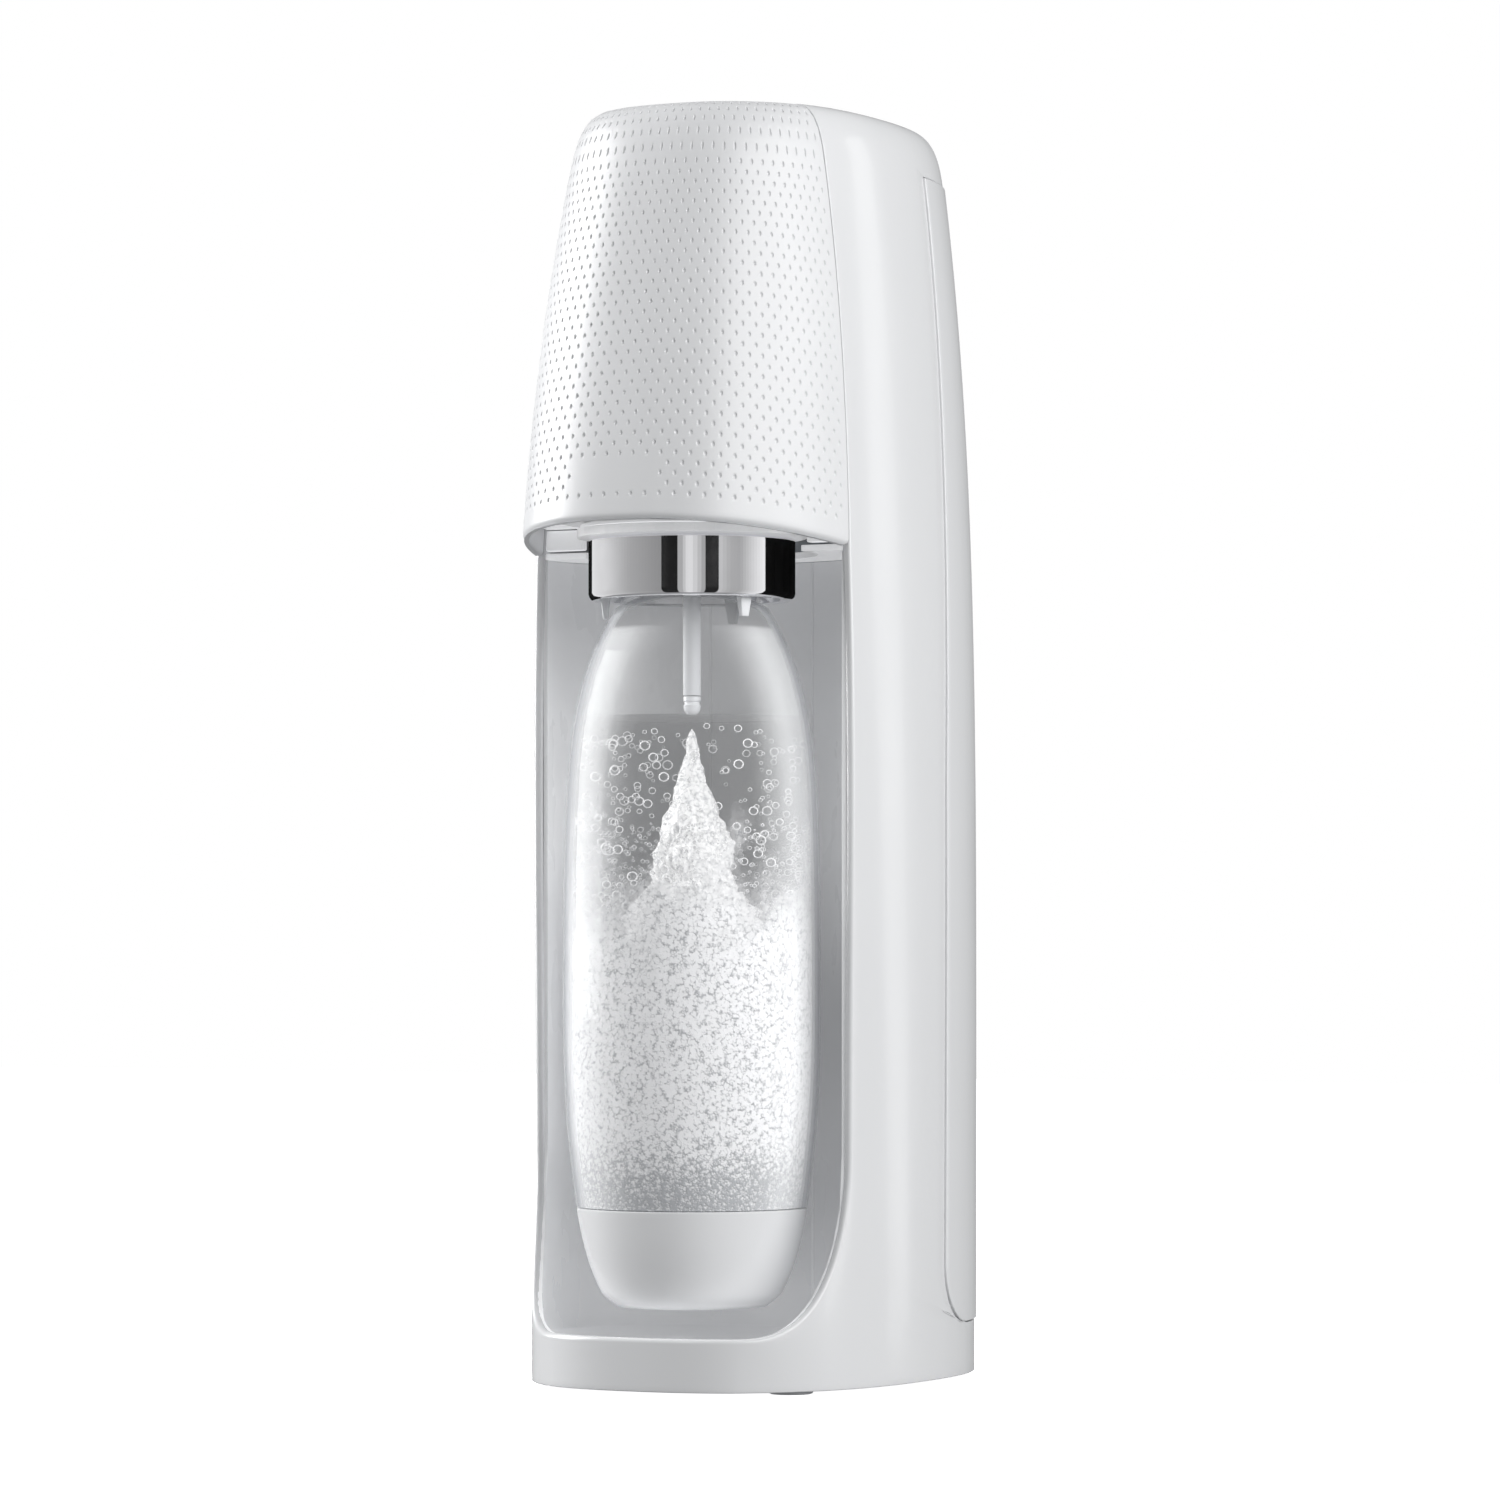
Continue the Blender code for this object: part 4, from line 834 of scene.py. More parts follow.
class CARBONATOR_OT_niche(bpy.types.Operator):
    """Makes the niche that the bottle stands in, with its filleted floor and two grooves"""

    bl_idname = "carbonator.niche"
    bl_label = "Niche"

    def execute(self, context):
        depth = context.scene.carbonator_case.groove
        mouth_turn = math.asin((LINER_BACK / NICHE_DEPTH) ** (PLAN_POWER / 2))
        joint = sweep_height(OPENING_Y + LINER_BACK)
        turns = spread(math.pi / 2, mouth_turn, 44)
        groove_turn = min(turns, key=lambda t: abs(niche_point("rear", t, 0)[0] - 0.0195))
        rear = [wall_column("rear", turn, joint, high_steps=12, high=NICHE_TOP) for turn in turns]
        groove_at = turns.index(groove_turn)
        rear[groove_at:groove_at + 1] = [
            wall_column("rear", groove_turn + shift, joint, high_steps=12, high=NICHE_TOP)
            for shift in (0.012, 0.004, -0.004, -0.012)
        ]
        for column in rear[groove_at + 1:groove_at + 3]:
            for point in column:
                if point.z > NICHE_FLOOR + NICHE_FILLET:
                    point.y += depth
        start = math.asin((-OPENING_Y / (BASE_FRONT - LIP_WIDTH)) ** (PLAN_POWER / 2))
        front = [wall_column("rear", mouth_turn, joint), wall_column("rear", 0.0, sweep_height(OPENING_Y))]
        for turn in spread(start, math.pi / 2, 26)[1:]:
            y = niche_point("front", turn, 0)[1]
            front.append(wall_column("front", turn, sweep_height(y)))
        floor = []
        for column in rear + front[1:]:
            low = column[0]
            floor.append([low] + to_middle([low]))
        walls = grid("niche_rear", rear), grid("niche_front", front)
        niche = weld(join("niche", *walls, grid("niche_floor", floor)))
        face_out(niche, (0, -0.02, 0.2))
        with editing(niche):
            bpy.ops.mesh.select_all(action="SELECT")
            bpy.ops.mesh.flip_normals()
        mirror_halves(niche)
        thicken(niche, 0.0016, even=False)
        finished(moved(niche), finishes["niche"], "case_white", "case", "niche_liner")
        return {"FINISHED"}


class CARBONATOR_OT_tray(bpy.types.Operator):
    """Makes the lift-out drip tray, a shallow dish with a rolled rim"""

    bl_idname = "carbonator.tray"
    bl_label = "Drip tray"

    def execute(self, context):
        low, high = NICHE_FLOOR + GAP, BASE_HEIGHT - 0.0012
        turns = [("rear", t) for t in spread(math.pi / 2, 0, 30)]
        start = math.asin((-OPENING_Y / (BASE_FRONT - LIP_WIDTH)) ** (PLAN_POWER / 2))
        turns += [("front", t) for t in spread(start, math.pi / 2, 24)[1:]]
        inner = [(0.0024, high - 0.0003), (0.0032, high - 0.0001), (0.0042, high - 0.0007)]
        for a in spread(0, math.pi / 2, 5)[1:]:
            rise = (high - low - 0.0025) * (1 - math.sin(a)) ** 1.4
            inner.append((0.0042 + 0.0080 * math.sin(a), low + 0.0018 + rise))
        inner += [(0.020, low + 0.0016), (0.030, low + 0.0015)]
        columns = []
        for part, turn in turns:
            points = []
            for tuck, z in inner:
                x, y = niche_point(part, turn, tuck)
                points.append(Vector((x, y, z)))
            columns.append(points + to_middle(points, 4))
        tray = weld(grid("drip_tray_dish", columns))
        face_out(tray, (0, -0.03, -0.3))
        mirror_halves(tray)
        thicken(tray, 0.0011, even=False)
        round_rims(tray, 0.0003, lambda middle: 1.0, segments=2)
        finished(moved(tray), finishes["tray"], "inner_plastic", "drip_tray", "drip_tray")
        return {"FINISHED"}


# ---- Rear cover -------------------------------------------------------------
class CARBONATOR_OT_cover(bpy.types.Operator):
    """Makes the rear cover, its button and the button's well"""

    bl_idname = "carbonator.cover"
    bl_label = "Rear cover"

    def execute(self, context):
        sizes = context.scene.carbonator_case
        corner = COVER_CORNER
        rows = [COVER_BOTTOM + corner * (1 - math.sin(a)) for a in spread(math.pi / 2, 0, 12)]
        rows += spread(COVER_BOTTOM + corner, COVER_TOP, 34)[1:]
        columns = []
        for share in spread(0, 1, 30):
            column = []
            for z in rows:
                drop = max(0.0, min(1.0, 1 - (z - COVER_BOTTOM) / corner))
                edge = cover_y(z) + GAP + corner * (1 - math.sqrt(1 - drop * drop))
                first = plan_angle(edge, back_reach(z) + COVER_PROUD)
                column.append(on_angle(first + (math.pi / 2 - first) * share ** 1.15, z, COVER_PROUD))
            columns.append(column)
        cover = weld(grid("rear_cover_panel", columns))
        face_out(cover, (0, 0, 0.2))
        mirror_halves(cover)
        thicken(cover, 0.0026)
        round_rims(cover, sizes.seam_round, lambda middle: 1.0, segments=3)
        low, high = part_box("cover_button")
        centre = (low + high) / 2
        radius = (high.x - low.x) / 2 - 0.0020
        clear_selection()
        bpy.ops.mesh.primitive_cylinder_add(
            vertices=64, radius=radius + GAP * 1.5, depth=0.04,
            location=(0, centre.y - CENTRE_Y, centre.z), rotation=(math.pi / 2, 0, 0))
        drill = added("button_drill")
        modify(cover, "BOOLEAN", operation="DIFFERENCE", object=drill, solver="EXACT")
        bpy.data.objects.remove(drill)
        finished(moved(cover), finishes["case"], "cover_white", "rear_cover", "rear_cover")
        back = high.y
        profile = [(0, 0.0052), (radius + 0.0018, 0.0052), (radius + 0.0018, 0.0038), (radius, 0.0038),
                   (radius, 0.0007), (radius - 0.0002, 0.0002), (radius - 0.0008, 0),
                   (radius * 0.72, 0.0001), (radius * 0.55, 0.0005), (radius * 0.3, 0.0008), (0, 0.0009)]
        button = turned("cover_push_button", profile, 0, 0, 64)
        button.data.transform(Matrix.Translation((0, back, centre.z)) @ Matrix.Rotation(math.pi / 2, 4, "X"))
        face_out(button)
        finished(button, finishes["cup"], "cover_white", "cover_button", "cover_button")
        return {"FINISHED"}


# ---- Press head -------------------------------------------------------------
def rim_height(y):
    share = (y - (OPENING_Y - GAP)) / (-HEAD_FRONT - (OPENING_Y - GAP))
    return HEAD_BOTTOM - HEAD_SIDE_DROP * (1 - max(0.0, min(1.0, share)))


def arc_places(level, edge_y, count, proud=0.0, samples=160):
    """Plan points spaced evenly along the head's front, from its right seam round to its left one."""
    first = plan_angle(edge_y, section(level)[1])
    line = []
    for i in range(samples + 1):
        angle = first + (-math.pi / 2 - first) * i / samples
        point = on_angle(angle, level, proud)
        line.append((point.x, point.y))
    line += [(-x, y) for x, y in reversed(line[:-1])]
    lengths = [0.0]
    for (ax, ay), (bx, by) in zip(line, line[1:]):
        lengths.append(lengths[-1] + math.hypot(bx - ax, by - ay))
    places, k = [], 0
    for i in range(count + 1):
        target = lengths[-1] * i / count
        while k < len(lengths) - 2 and lengths[k + 1] < target:
            k += 1
        t = (target - lengths[k]) / max(1e-12, lengths[k + 1] - lengths[k])
        (ax, ay), (bx, by) = line[k], line[k + 1]
        places.append((ax + (bx - ax) * t, ay + (by - ay) * t))
    return places


class HeadSurface:
    """The press head's outer surface: u runs over the columns and v over the rows."""

    cap = 7

    def __init__(self, columns, rows):
        self.columns, self.rows = columns, rows
        height = SHOULDER + TOP_ROUND - HEAD_BOTTOM + HEAD_SIDE_DROP
        levels = [HEAD_BOTTOM - HEAD_SIDE_DROP + height * j / rows for j in range(rows + 1)]
        table = []
        for level in levels:
            z = section(level)[3]
            places = arc_places(level, seam_y(z) - GAP, columns)
            table.append([Vector((x, y, z)) for x, y in places])
        self.points = []
        for i in range(columns + 1):
            foot = levels[0]
            for _ in range(4):
                foot = rim_height(self.along(table, levels, i, foot).y)
            heights = [foot + (levels[-1] - foot) * j / rows for j in range(rows + 1)]
            column = [self.along(table, levels, i, height) for height in heights]
            top = column[-1]
            goal = Vector((top.x, seam_y(top.z) - GAP, top.z))
            column += [top.lerp(goal, j / self.cap) for j in range(1, self.cap + 1)]
            self.points.append(column)
        self.normals = [[self.normal(i, j) for j in range(rows + self.cap + 1)] for i in range(columns + 1)]

    def along(self, table, levels, i, level):
        span = (level - levels[0]) / (levels[-1] - levels[0]) * (len(levels) - 1)
        j = max(0, min(len(levels) - 2, int(span)))
        return table[j][i].lerp(table[j + 1][i], span - j)

    def normal(self, i, j):
        last_i, last_j = self.columns, self.rows + self.cap
        across = self.points[min(i + 1, last_i)][j] - self.points[max(i - 1, 0)][j]
        up = self.points[i][min(j + 1, last_j)] - self.points[i][max(j - 1, 0)]
        made = up.cross(across)
        if made.length < 1e-9:
            return Vector((0, 0, 1))
        made.normalize()
        outward = Vector((self.points[i][j].x, self.points[i][j].y, 0.02))
        return made if made.dot(outward) > 0 else -made

    def at(self, u, v, deep):
        """The point u columns across and v rows up, that deep under the surface."""
        i = max(0, min(self.columns - 1, int(u)))
        j = max(0, min(self.rows + self.cap - 1, int(v)))
        s, t = u - i, v - j
        for grid_of in (self.points, self.normals):
            low = grid_of[i][j].lerp(grid_of[i + 1][j], s)
            high = grid_of[i][j + 1].lerp(grid_of[i + 1][j + 1], s)
            if grid_of is self.points:
                spot = low.lerp(high, t)
            else:
                out = low.lerp(high, t).normalized()
        return spot - out * deep


def dimpled(u, v, columns, rows):
    """Whether the cell at column u, row v has a dimple: every other one, clear of rims and plain patch."""
    if (u + v) % 2 or v < 2 or v > rows - 2 or u < 1 or u > columns - 2:
        return False
    return not (0.41 * columns < u < 0.60 * columns and 2 < v < 6)


class CARBONATOR_OT_press_head(bpy.types.Operator):
    """Makes the dimpled press head"""

    bl_idname = "carbonator.press_head"
    bl_label = "Press head"

    def execute(self, context):
        sizes = context.scene.carbonator_head
        columns, rows = sizes.columns, sizes.rows
        surface = HeadSurface(columns, rows)
        tall = rows + surface.cap
        panels = []
        for deep in (0.0, sizes.wall):
            clear_selection()
            bpy.ops.mesh.primitive_grid_add(x_subdivisions=columns, y_subdivisions=tall, size=2)
            panel = added("head_panel")
            for vert in panel.data.vertices:
                vert.co = ((vert.co.x + 1) / 2 * columns, (vert.co.y + 1) / 2 * tall, 0)
            if not deep:
                self.press_dimples(panel, sizes)
            for vert in panel.data.vertices:
                push = -vert.co.z
                vert.co = surface.at(vert.co.x, vert.co.y, deep + push)
            panels.append(panel)
        head = join("press_head_cover", *panels)
        for edge in head.data.edges:
            edge.select = False
        with editing(head):
            bpy.ops.mesh.select_mode(type="EDGE")
            bpy.ops.mesh.select_all(action="DESELECT")
            bpy.ops.mesh.select_non_manifold(extend=False, use_wire=False, use_boundary=True,
                                             use_multi_face=False, use_non_contiguous=False, use_verts=False)
            bpy.ops.mesh.bridge_edge_loops()
        weld(head, 0.000005)
        face_out(head)

        def weight(middle):
            if abs(middle.z - rim_height(middle.y)) < 0.0006:
                return 1.0
            return 0.16 if middle.y > seam_y(middle.z) - GAP - 0.0008 else 0.0

        round_rims(head, 0.0021, weight, segments=5, angle=55)
        finished(moved(head), finishes["head"], "head_white", "press_head", "press_head", angle=40)
        return {"FINISHED"}

    def press_dimples(self, panel, sizes):
        columns, rows = sizes.columns, sizes.rows
        half = sizes.dimple

        def chosen(face):
            return dimpled(int(face.center.x), int(face.center.y), columns, rows)

        choose(panel, "FACE", chosen)
        with editing(panel):
            bpy.ops.mesh.inset(thickness=0.5 - half, use_individual=True)
            bpy.ops.mesh.select_mode(type="VERT")
            bpy.ops.mesh.bevel(offset=2 * half * 0.293, segments=1, affect="VERTICES")
        deep = sizes.depth
        for share, push in ((0.20, 0.30), (0.28, 0.45), (0.26, 0.25)):
            choose(panel, "FACE", lambda face: len(face.vertices) == 8 and self.inner(face, columns, rows))
            with editing(panel):
                bpy.ops.mesh.inset(thickness=half * share, depth=0.0, use_individual=True)
            picked = [face for face in panel.data.polygons if face.select]
            for face in picked:
                for index in face.vertices:
                    panel.data.vertices[index].co.z -= deep * push

    def inner(self, face, columns, rows):
        middle = Vector((int(face.center.x) + 0.5, int(face.center.y) + 0.5))
        near = (face.center.xy - middle).length < 0.02
        return near and dimpled(int(face.center.x), int(face.center.y), columns, rows)


# ---- Bottle -----------------------------------------------------------------
def bottle_radius(z):
    if z >= BOTTLE_WIDEST:
        rise = (z - BOTTLE_WIDEST) / (SHOULDER_TOP - BOTTLE_WIDEST)
        return BOTTLE_RADIUS - (BOTTLE_RADIUS - 0.0255) * (0.10 * rise**2 + 0.90 * rise**5.2)
    fall = (BOTTLE_WIDEST - z) / (BOTTLE_WIDEST - CUP_TOP)
    if fall <= 1:
        return BOTTLE_RADIUS - 0.0046 * fall**2.2
    depth = (CUP_TOP - z) / (CUP_TOP - BOTTLE_BOTTOM)
    return 0.0384 - 0.0060 * depth - 0.0052 * depth**3


class CARBONATOR_OT_bottle(bpy.types.Operator):
    """Makes the clear bottle and its white cup"""

    bl_idname = "carbonator.bottle"
    bl_label = "Bottle"

    def execute(self, context):
        wall = context.scene.carbonator_bottle.wall
        floor = BOTTLE_BOTTOM + 0.0042
        outer = [(0.0, floor + 0.0030), (0.012, floor + 0.0016), (0.021, floor)]
        outer += [(bottle_radius(z) - 0.0022, z) for z in spread(floor + 0.0012, CUP_TOP - 0.0003, 6)]
        outer += [(bottle_radius(z), z) for z in spread(CUP_TOP, SHOULDER_TOP, 60)]
        outer += [(0.0235, SHOULDER_TOP + 0.0014), (0.0205, SHOULDER_TOP + 0.0028),
                  (0.0170, SHOULDER_TOP + 0.0042), (NECK_RADIUS, SHOULDER_TOP + 0.0062),
                  (NECK_RADIUS, NECK_TOP - 0.0004), (NECK_RADIUS - 0.0004, NECK_TOP)]
        inner = [(max(0.0, radius - wall), height + (wall if radius < 0.03 and height < 0.05 else 0))
                 for radius, height in reversed(outer[:-2])]
        inner[0] = (NECK_RADIUS - wall, NECK_TOP)
        inner[-1] = (0.0, floor + 0.0030 + wall)
        bottle = turned("clear_bottle", outer + inner, segments=112)
        finished(moved(bottle), finishes["bottle"], "bottle_clear", "bottle", "bottle", angle=50)
        top = CUP_TOP - 0.0003
        cup = [(0.0, BOTTLE_BOTTOM + 0.0016), (0.018, BOTTLE_BOTTOM + 0.0013),
               (0.0232, BOTTLE_BOTTOM + 0.0003), (0.0248, BOTTLE_BOTTOM)]
        for z in spread(BOTTLE_BOTTOM, top - 0.0009, 26)[1:]:
            blend = 1 - max(0.0, 1 - (z - BOTTLE_BOTTOM) / 0.0045) ** 2.2
            cup.append((0.0248 + (bottle_radius(z) + 0.0001 - 0.0248) * blend, z))
        edge = bottle_radius(top) + 0.0001
        cup += [(edge - 0.0001, top - 0.0003), (edge - 0.0005, top), (edge - 0.0013, top),
                (edge - 0.0016, top - 0.0004)]
        heights = reversed(spread(BOTTLE_BOTTOM + 0.006, top - 0.001, 10))
        cup += [(bottle_radius(z) - 0.0017, z) for z in heights]
        cup += [(0.0235, BOTTLE_BOTTOM + 0.0032), (0.0, BOTTLE_BOTTOM + 0.0034)]
        base = turned("bottle_cup", cup, segments=112)
        finished(moved(base), finishes["cup"], "bottle_white", "bottle", "bottle_base", angle=50)
        return {"FINISHED"}


class CARBONATOR_OT_water(bpy.types.Operator):
    """Fills the bottle with charged water, its bubbles and the jet of foam"""

    bl_idname = "carbonator.water"
    bl_label = "Sparkling water"

    def execute(self, context):
        sizes = context.scene.carbonator_bottle
        skin = sizes.wall + 0.00025
        level = sizes.water_level
        low = BOTTLE_BOTTOM + 0.0090
        profile = [(0.0, low), (bottle_radius(low) - 0.0068, low)]
        profile += [(bottle_radius(z) - 0.0022 - skin, z) for z in spread(low + 0.002, CUP_TOP - 0.001, 4)]
        profile += [(bottle_radius(z) - skin, z) for z in spread(CUP_TOP, level - 0.0006, 44)]
        rim = bottle_radius(level) - skin
        profile += [(rim - 0.0005, level - 0.0001), (rim - 0.0020, level - 0.0005), (0.012, level - 0.0006),
                    (0.0, level - 0.0006)]
        body = turned("water_body", profile, segments=112)
        finished(moved(body), finishes["water"], "bottle_clear", "bottle", angle=50)
        self.jet(skin)
        self.scatter(sizes, skin)
        return {"FINISHED"}

    def jet(self, skin):
        """The foam that fans out under the nozzle, as a torn and lumpy skirt."""
        top = NOZZLE_BOTTOM - 0.0045
        profile = [(0.0, top), (0.0006, top - 0.001)]
        for share in spread(0, 1, 90)[1:]:
            z = top - 0.148 * share
            radius = 0.0006 + 0.0345 * min(1.0, share / 0.72) ** 1.15
            profile.append((min(radius, bottle_radius(z) - skin - 0.0035), z))
        profile += [(0.0, top - 0.1485)]
        cone = turned("foam_jet", profile, segments=160)
        for vert in cone.data.vertices:
            out = Vector((vert.co.x, vert.co.y - BOTTLE_Y, 0))
            reach = out.length
            if reach < 0.0008:
                continue
            lump = noise.noise(vert.co * 60) * 0.50 + noise.noise(vert.co * 150) * 0.40
            lump += noise.noise(vert.co * 420) * 0.35
            grow = max(0.0, 1 + lump * 0.62)
            limit = bottle_radius(vert.co.z) - skin - 0.0012
            new = min(reach * grow, limit)
            vert.co.x *= new / reach
            vert.co.y = BOTTLE_Y + (vert.co.y - BOTTLE_Y) * new / reach
        finished(moved(cone), finishes["foam"], "bottle_clear", "bottle", angle=70)

    def scatter(self, sizes, skin):
        """Copies bubbles through the water: small and packed low down, large and loose near the top."""
        drawn = random.Random(41)
        level = sizes.water_level
        large, small = [], []
        while len(large) < sizes.bubbles:
            rise = drawn.random() ** 0.75
            z = 0.105 + (level - 0.004 - 0.105) * rise
            radius = 0.0006 + 0.0013 * drawn.random() ** 2.2
            reach = bottle_radius(z) - skin - radius - 0.0003
            inside = reach * (1 - 0.35 * drawn.random() ** 1.6)
            turn = 2 * math.pi * drawn.random()
            lump = noise.noise(Vector((math.cos(turn) * 2.2, math.sin(turn) * 2.2, z * 42)))
            if drawn.random() < 0.42 + lump * 0.9:
                large.append((inside * math.cos(turn), inside * math.sin(turn), z, radius))
        while len(small) < sizes.fizz:
            z = 0.0615 + 0.125 * drawn.random() ** 1.55
            radius = 0.00035 + 0.00055 * drawn.random() ** 1.8
            reach = bottle_radius(z) - skin - radius - 0.0002
            inside = reach * (1 - 0.16 * drawn.random() ** 1.5)
            turn = 2 * math.pi * drawn.random()
            lump = noise.noise(Vector((math.cos(turn) * 3, math.sin(turn) * 3, z * 60)))
            if drawn.random() < 0.55 + lump * 0.8:
                small.append((inside * math.cos(turn), inside * math.sin(turn), z, radius))
        for name, spots, cuts, key in (
            ("large_bubbles", large, 2, "bubble"),
            ("fine_bubbles", small, 1, "fizz"),
        ):
            made = self.copies(name, spots, cuts)
            finished(moved(made), finishes[key], "bottle_clear", "bottle", angle=180)

    def copies(self, name, spots, cuts):
        clear_selection()
        bpy.ops.mesh.primitive_ico_sphere_add(subdivisions=cuts, radius=1)
        seed = added(name)
        corners = [tuple(v.co) for v in seed.data.vertices]
        faces = [tuple(p.vertices) for p in seed.data.polygons]
        points, rings = [], []
        for x, y, z, radius in spots:
            base = len(points)
            points += [(x + cx * radius, BOTTLE_Y + y + cy * radius, z + cz * radius * 0.92)
                       for cx, cy, cz in corners]
            rings += [tuple(base + i for i in face) for face in faces]
        mesh = bpy.data.meshes.new(name)
        mesh.from_pydata(points, [], rings)
        seed.data = mesh
        return seed


# ---- Holder and fittings ----------------------------------------------------
class CARBONATOR_OT_holder(bpy.types.Operator):
    """Makes the chrome snap ring, its collar and claws, and the carbonating nozzle"""

    bl_idname = "carbonator.holder"
    bl_label = "Bottle holder"

    def execute(self, context):
        inner = RING_RADIUS - RING_WALL
        profile = [(RING_RADIUS - 0.0006, RING_TOP), (RING_RADIUS - 0.0001, RING_TOP - 0.0003),
                   (RING_RADIUS, RING_TOP - 0.0009), (RING_RADIUS, RING_TOP - 0.0014),
                   (RING_RADIUS, RING_BOTTOM + 0.0028), (RING_RADIUS, RING_BOTTOM + 0.0022),
                   (RING_RADIUS - 0.0003, RING_BOTTOM + 0.0012), (RING_RADIUS - 0.0009, RING_BOTTOM + 0.0004),
                   (RING_RADIUS - 0.0016, RING_BOTTOM), (inner + 0.0004, RING_BOTTOM + 0.0001),
                   (inner, RING_BOTTOM + 0.0008), (inner, RING_TOP - 0.0004), (inner + 0.0004, RING_TOP)]
        ring = turned("chrome_ring", profile, segments=160, ring=True)
        finished(moved(ring), finishes["chrome"], "chrome", "bottle_holder", "snap_ring", angle=60)
        outer, bore = inner - GAP, 0.0262
        low, high = RING_BOTTOM + 0.0035, RING_TOP + 0.0002
        collar = [(outer, high), (outer, low + 0.0005), (outer - 0.0005, low), (bore + 0.0030, low),
                  (bore + 0.0022, low - 0.0004), (bore + 0.0008, low - 0.0004), (bore, low + 0.0004),
                  (bore, low + 0.0040), (bore + 0.0012, low + 0.0052), (bore + 0.0012, high)]
        made = turned("ring_collar", collar, segments=96, ring=True)
        finished(moved(made), finishes["holder"], "holder_white", "bottle_holder", "lock_collar")
        self.claws()
        low, high = RING_TOP + 0.0036, 0.2864
        lip = [(0.0374, low), (0.0374, high - 0.0004), (0.0370, high), (0.0345, high), (0.0345, low)]
        made = turned("yoke_lip", lip, segments=96, ring=True)
        # Painted light: the soffit finish brightens the shade under the head.
        finished(moved(made), finishes["soffit"], "holder_white", "bottle_holder")
        tube_top = 0.293
        tube = [(0.0030, tube_top), (0.0030, 0.2300), (0.0028, 0.2297), (0.0012, 0.2297), (0.0012, tube_top)]
        made = turned("nozzle_pipe", tube, segments=48, ring=True)
        finished(moved(made), finishes["nozzle"], "holder_white", "bottle_holder", "nozzle_tube")
        low = NOZZLE_BOTTOM
        tip = [(0.0029, low + 0.0060), (0.0029, low + 0.0046), (0.0025, low + 0.0043), (0.0025, low + 0.0036),
               (0.0029, low + 0.0032), (0.0027, low + 0.0016), (0.0018, low + 0.0002), (0.0014, low),
               (0.0007, low), (0.0007, low + 0.0060)]
        made = turned("nozzle_end", tip, segments=48, ring=True)
        finished(moved(made), finishes["nozzle"], "holder_white", "bottle_holder", "nozzle_tip")
        return {"FINISHED"}

    def claws(self):
        for letter, angle in zip("abc", (205, 335, 90)):
            turn = math.radians(angle)
            low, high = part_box(f"snap_claw_{letter}")
            centre = Vector((0.0288 * math.cos(turn), BOTTLE_Y + CENTRE_Y + 0.0288 * math.sin(turn), 0))
            clear_selection()
            bpy.ops.mesh.primitive_cube_add(size=1, location=(0, 0, 0))
            claw = added(f"catch_{letter}")
            for vert in claw.data.vertices:
                tall = vert.co.z > 0
                wide, deep = (0.0056, 0.0034) if tall else (0.0030, 0.0016)
                vert.co = (vert.co.x * deep, vert.co.y * wide, high.z if tall else low.z)
            choose(claw, "EDGE", lambda edge: True)
            with editing(claw):
                bpy.ops.mesh.bevel(offset=0.0005, segments=3, affect="EDGES")
            claw.data.transform(Matrix.Translation(centre) @ Matrix.Rotation(turn, 4, "Z"))
            face_out(claw)
            finished(claw, finishes["nozzle"], "holder_white", "bottle_holder", f"snap_claw_{letter}")


class CARBONATOR_OT_feet(bpy.types.Operator):
    """Makes the four rubber feet"""

    bl_idname = "carbonator.feet"
    bl_label = "Feet"

    def execute(self, context):
        for word in ("front_left", "front_right", "rear_left", "rear_right"):
            low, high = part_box(f"foot_{word}")
            middle, radius = (low + high) / 2, (high.x - low.x) / 2
            profile = [(0, high.z), (radius - 0.0003, high.z), (radius, high.z - 0.0003), (radius, 0.0009),
                       (radius - 0.0003, 0.0003), (radius - 0.0009, 0), (radius * 0.62, 0),
                       (radius * 0.56, 0.0004), (radius * 0.42, 0.0004), (radius * 0.36, 0), (0, 0)]
            foot = turned(f"pad_{word}", profile, middle.x, middle.y, 48)
            finished(foot, finishes["foot"], "rubber", "case", f"foot_{word}")
        return {"FINISHED"}


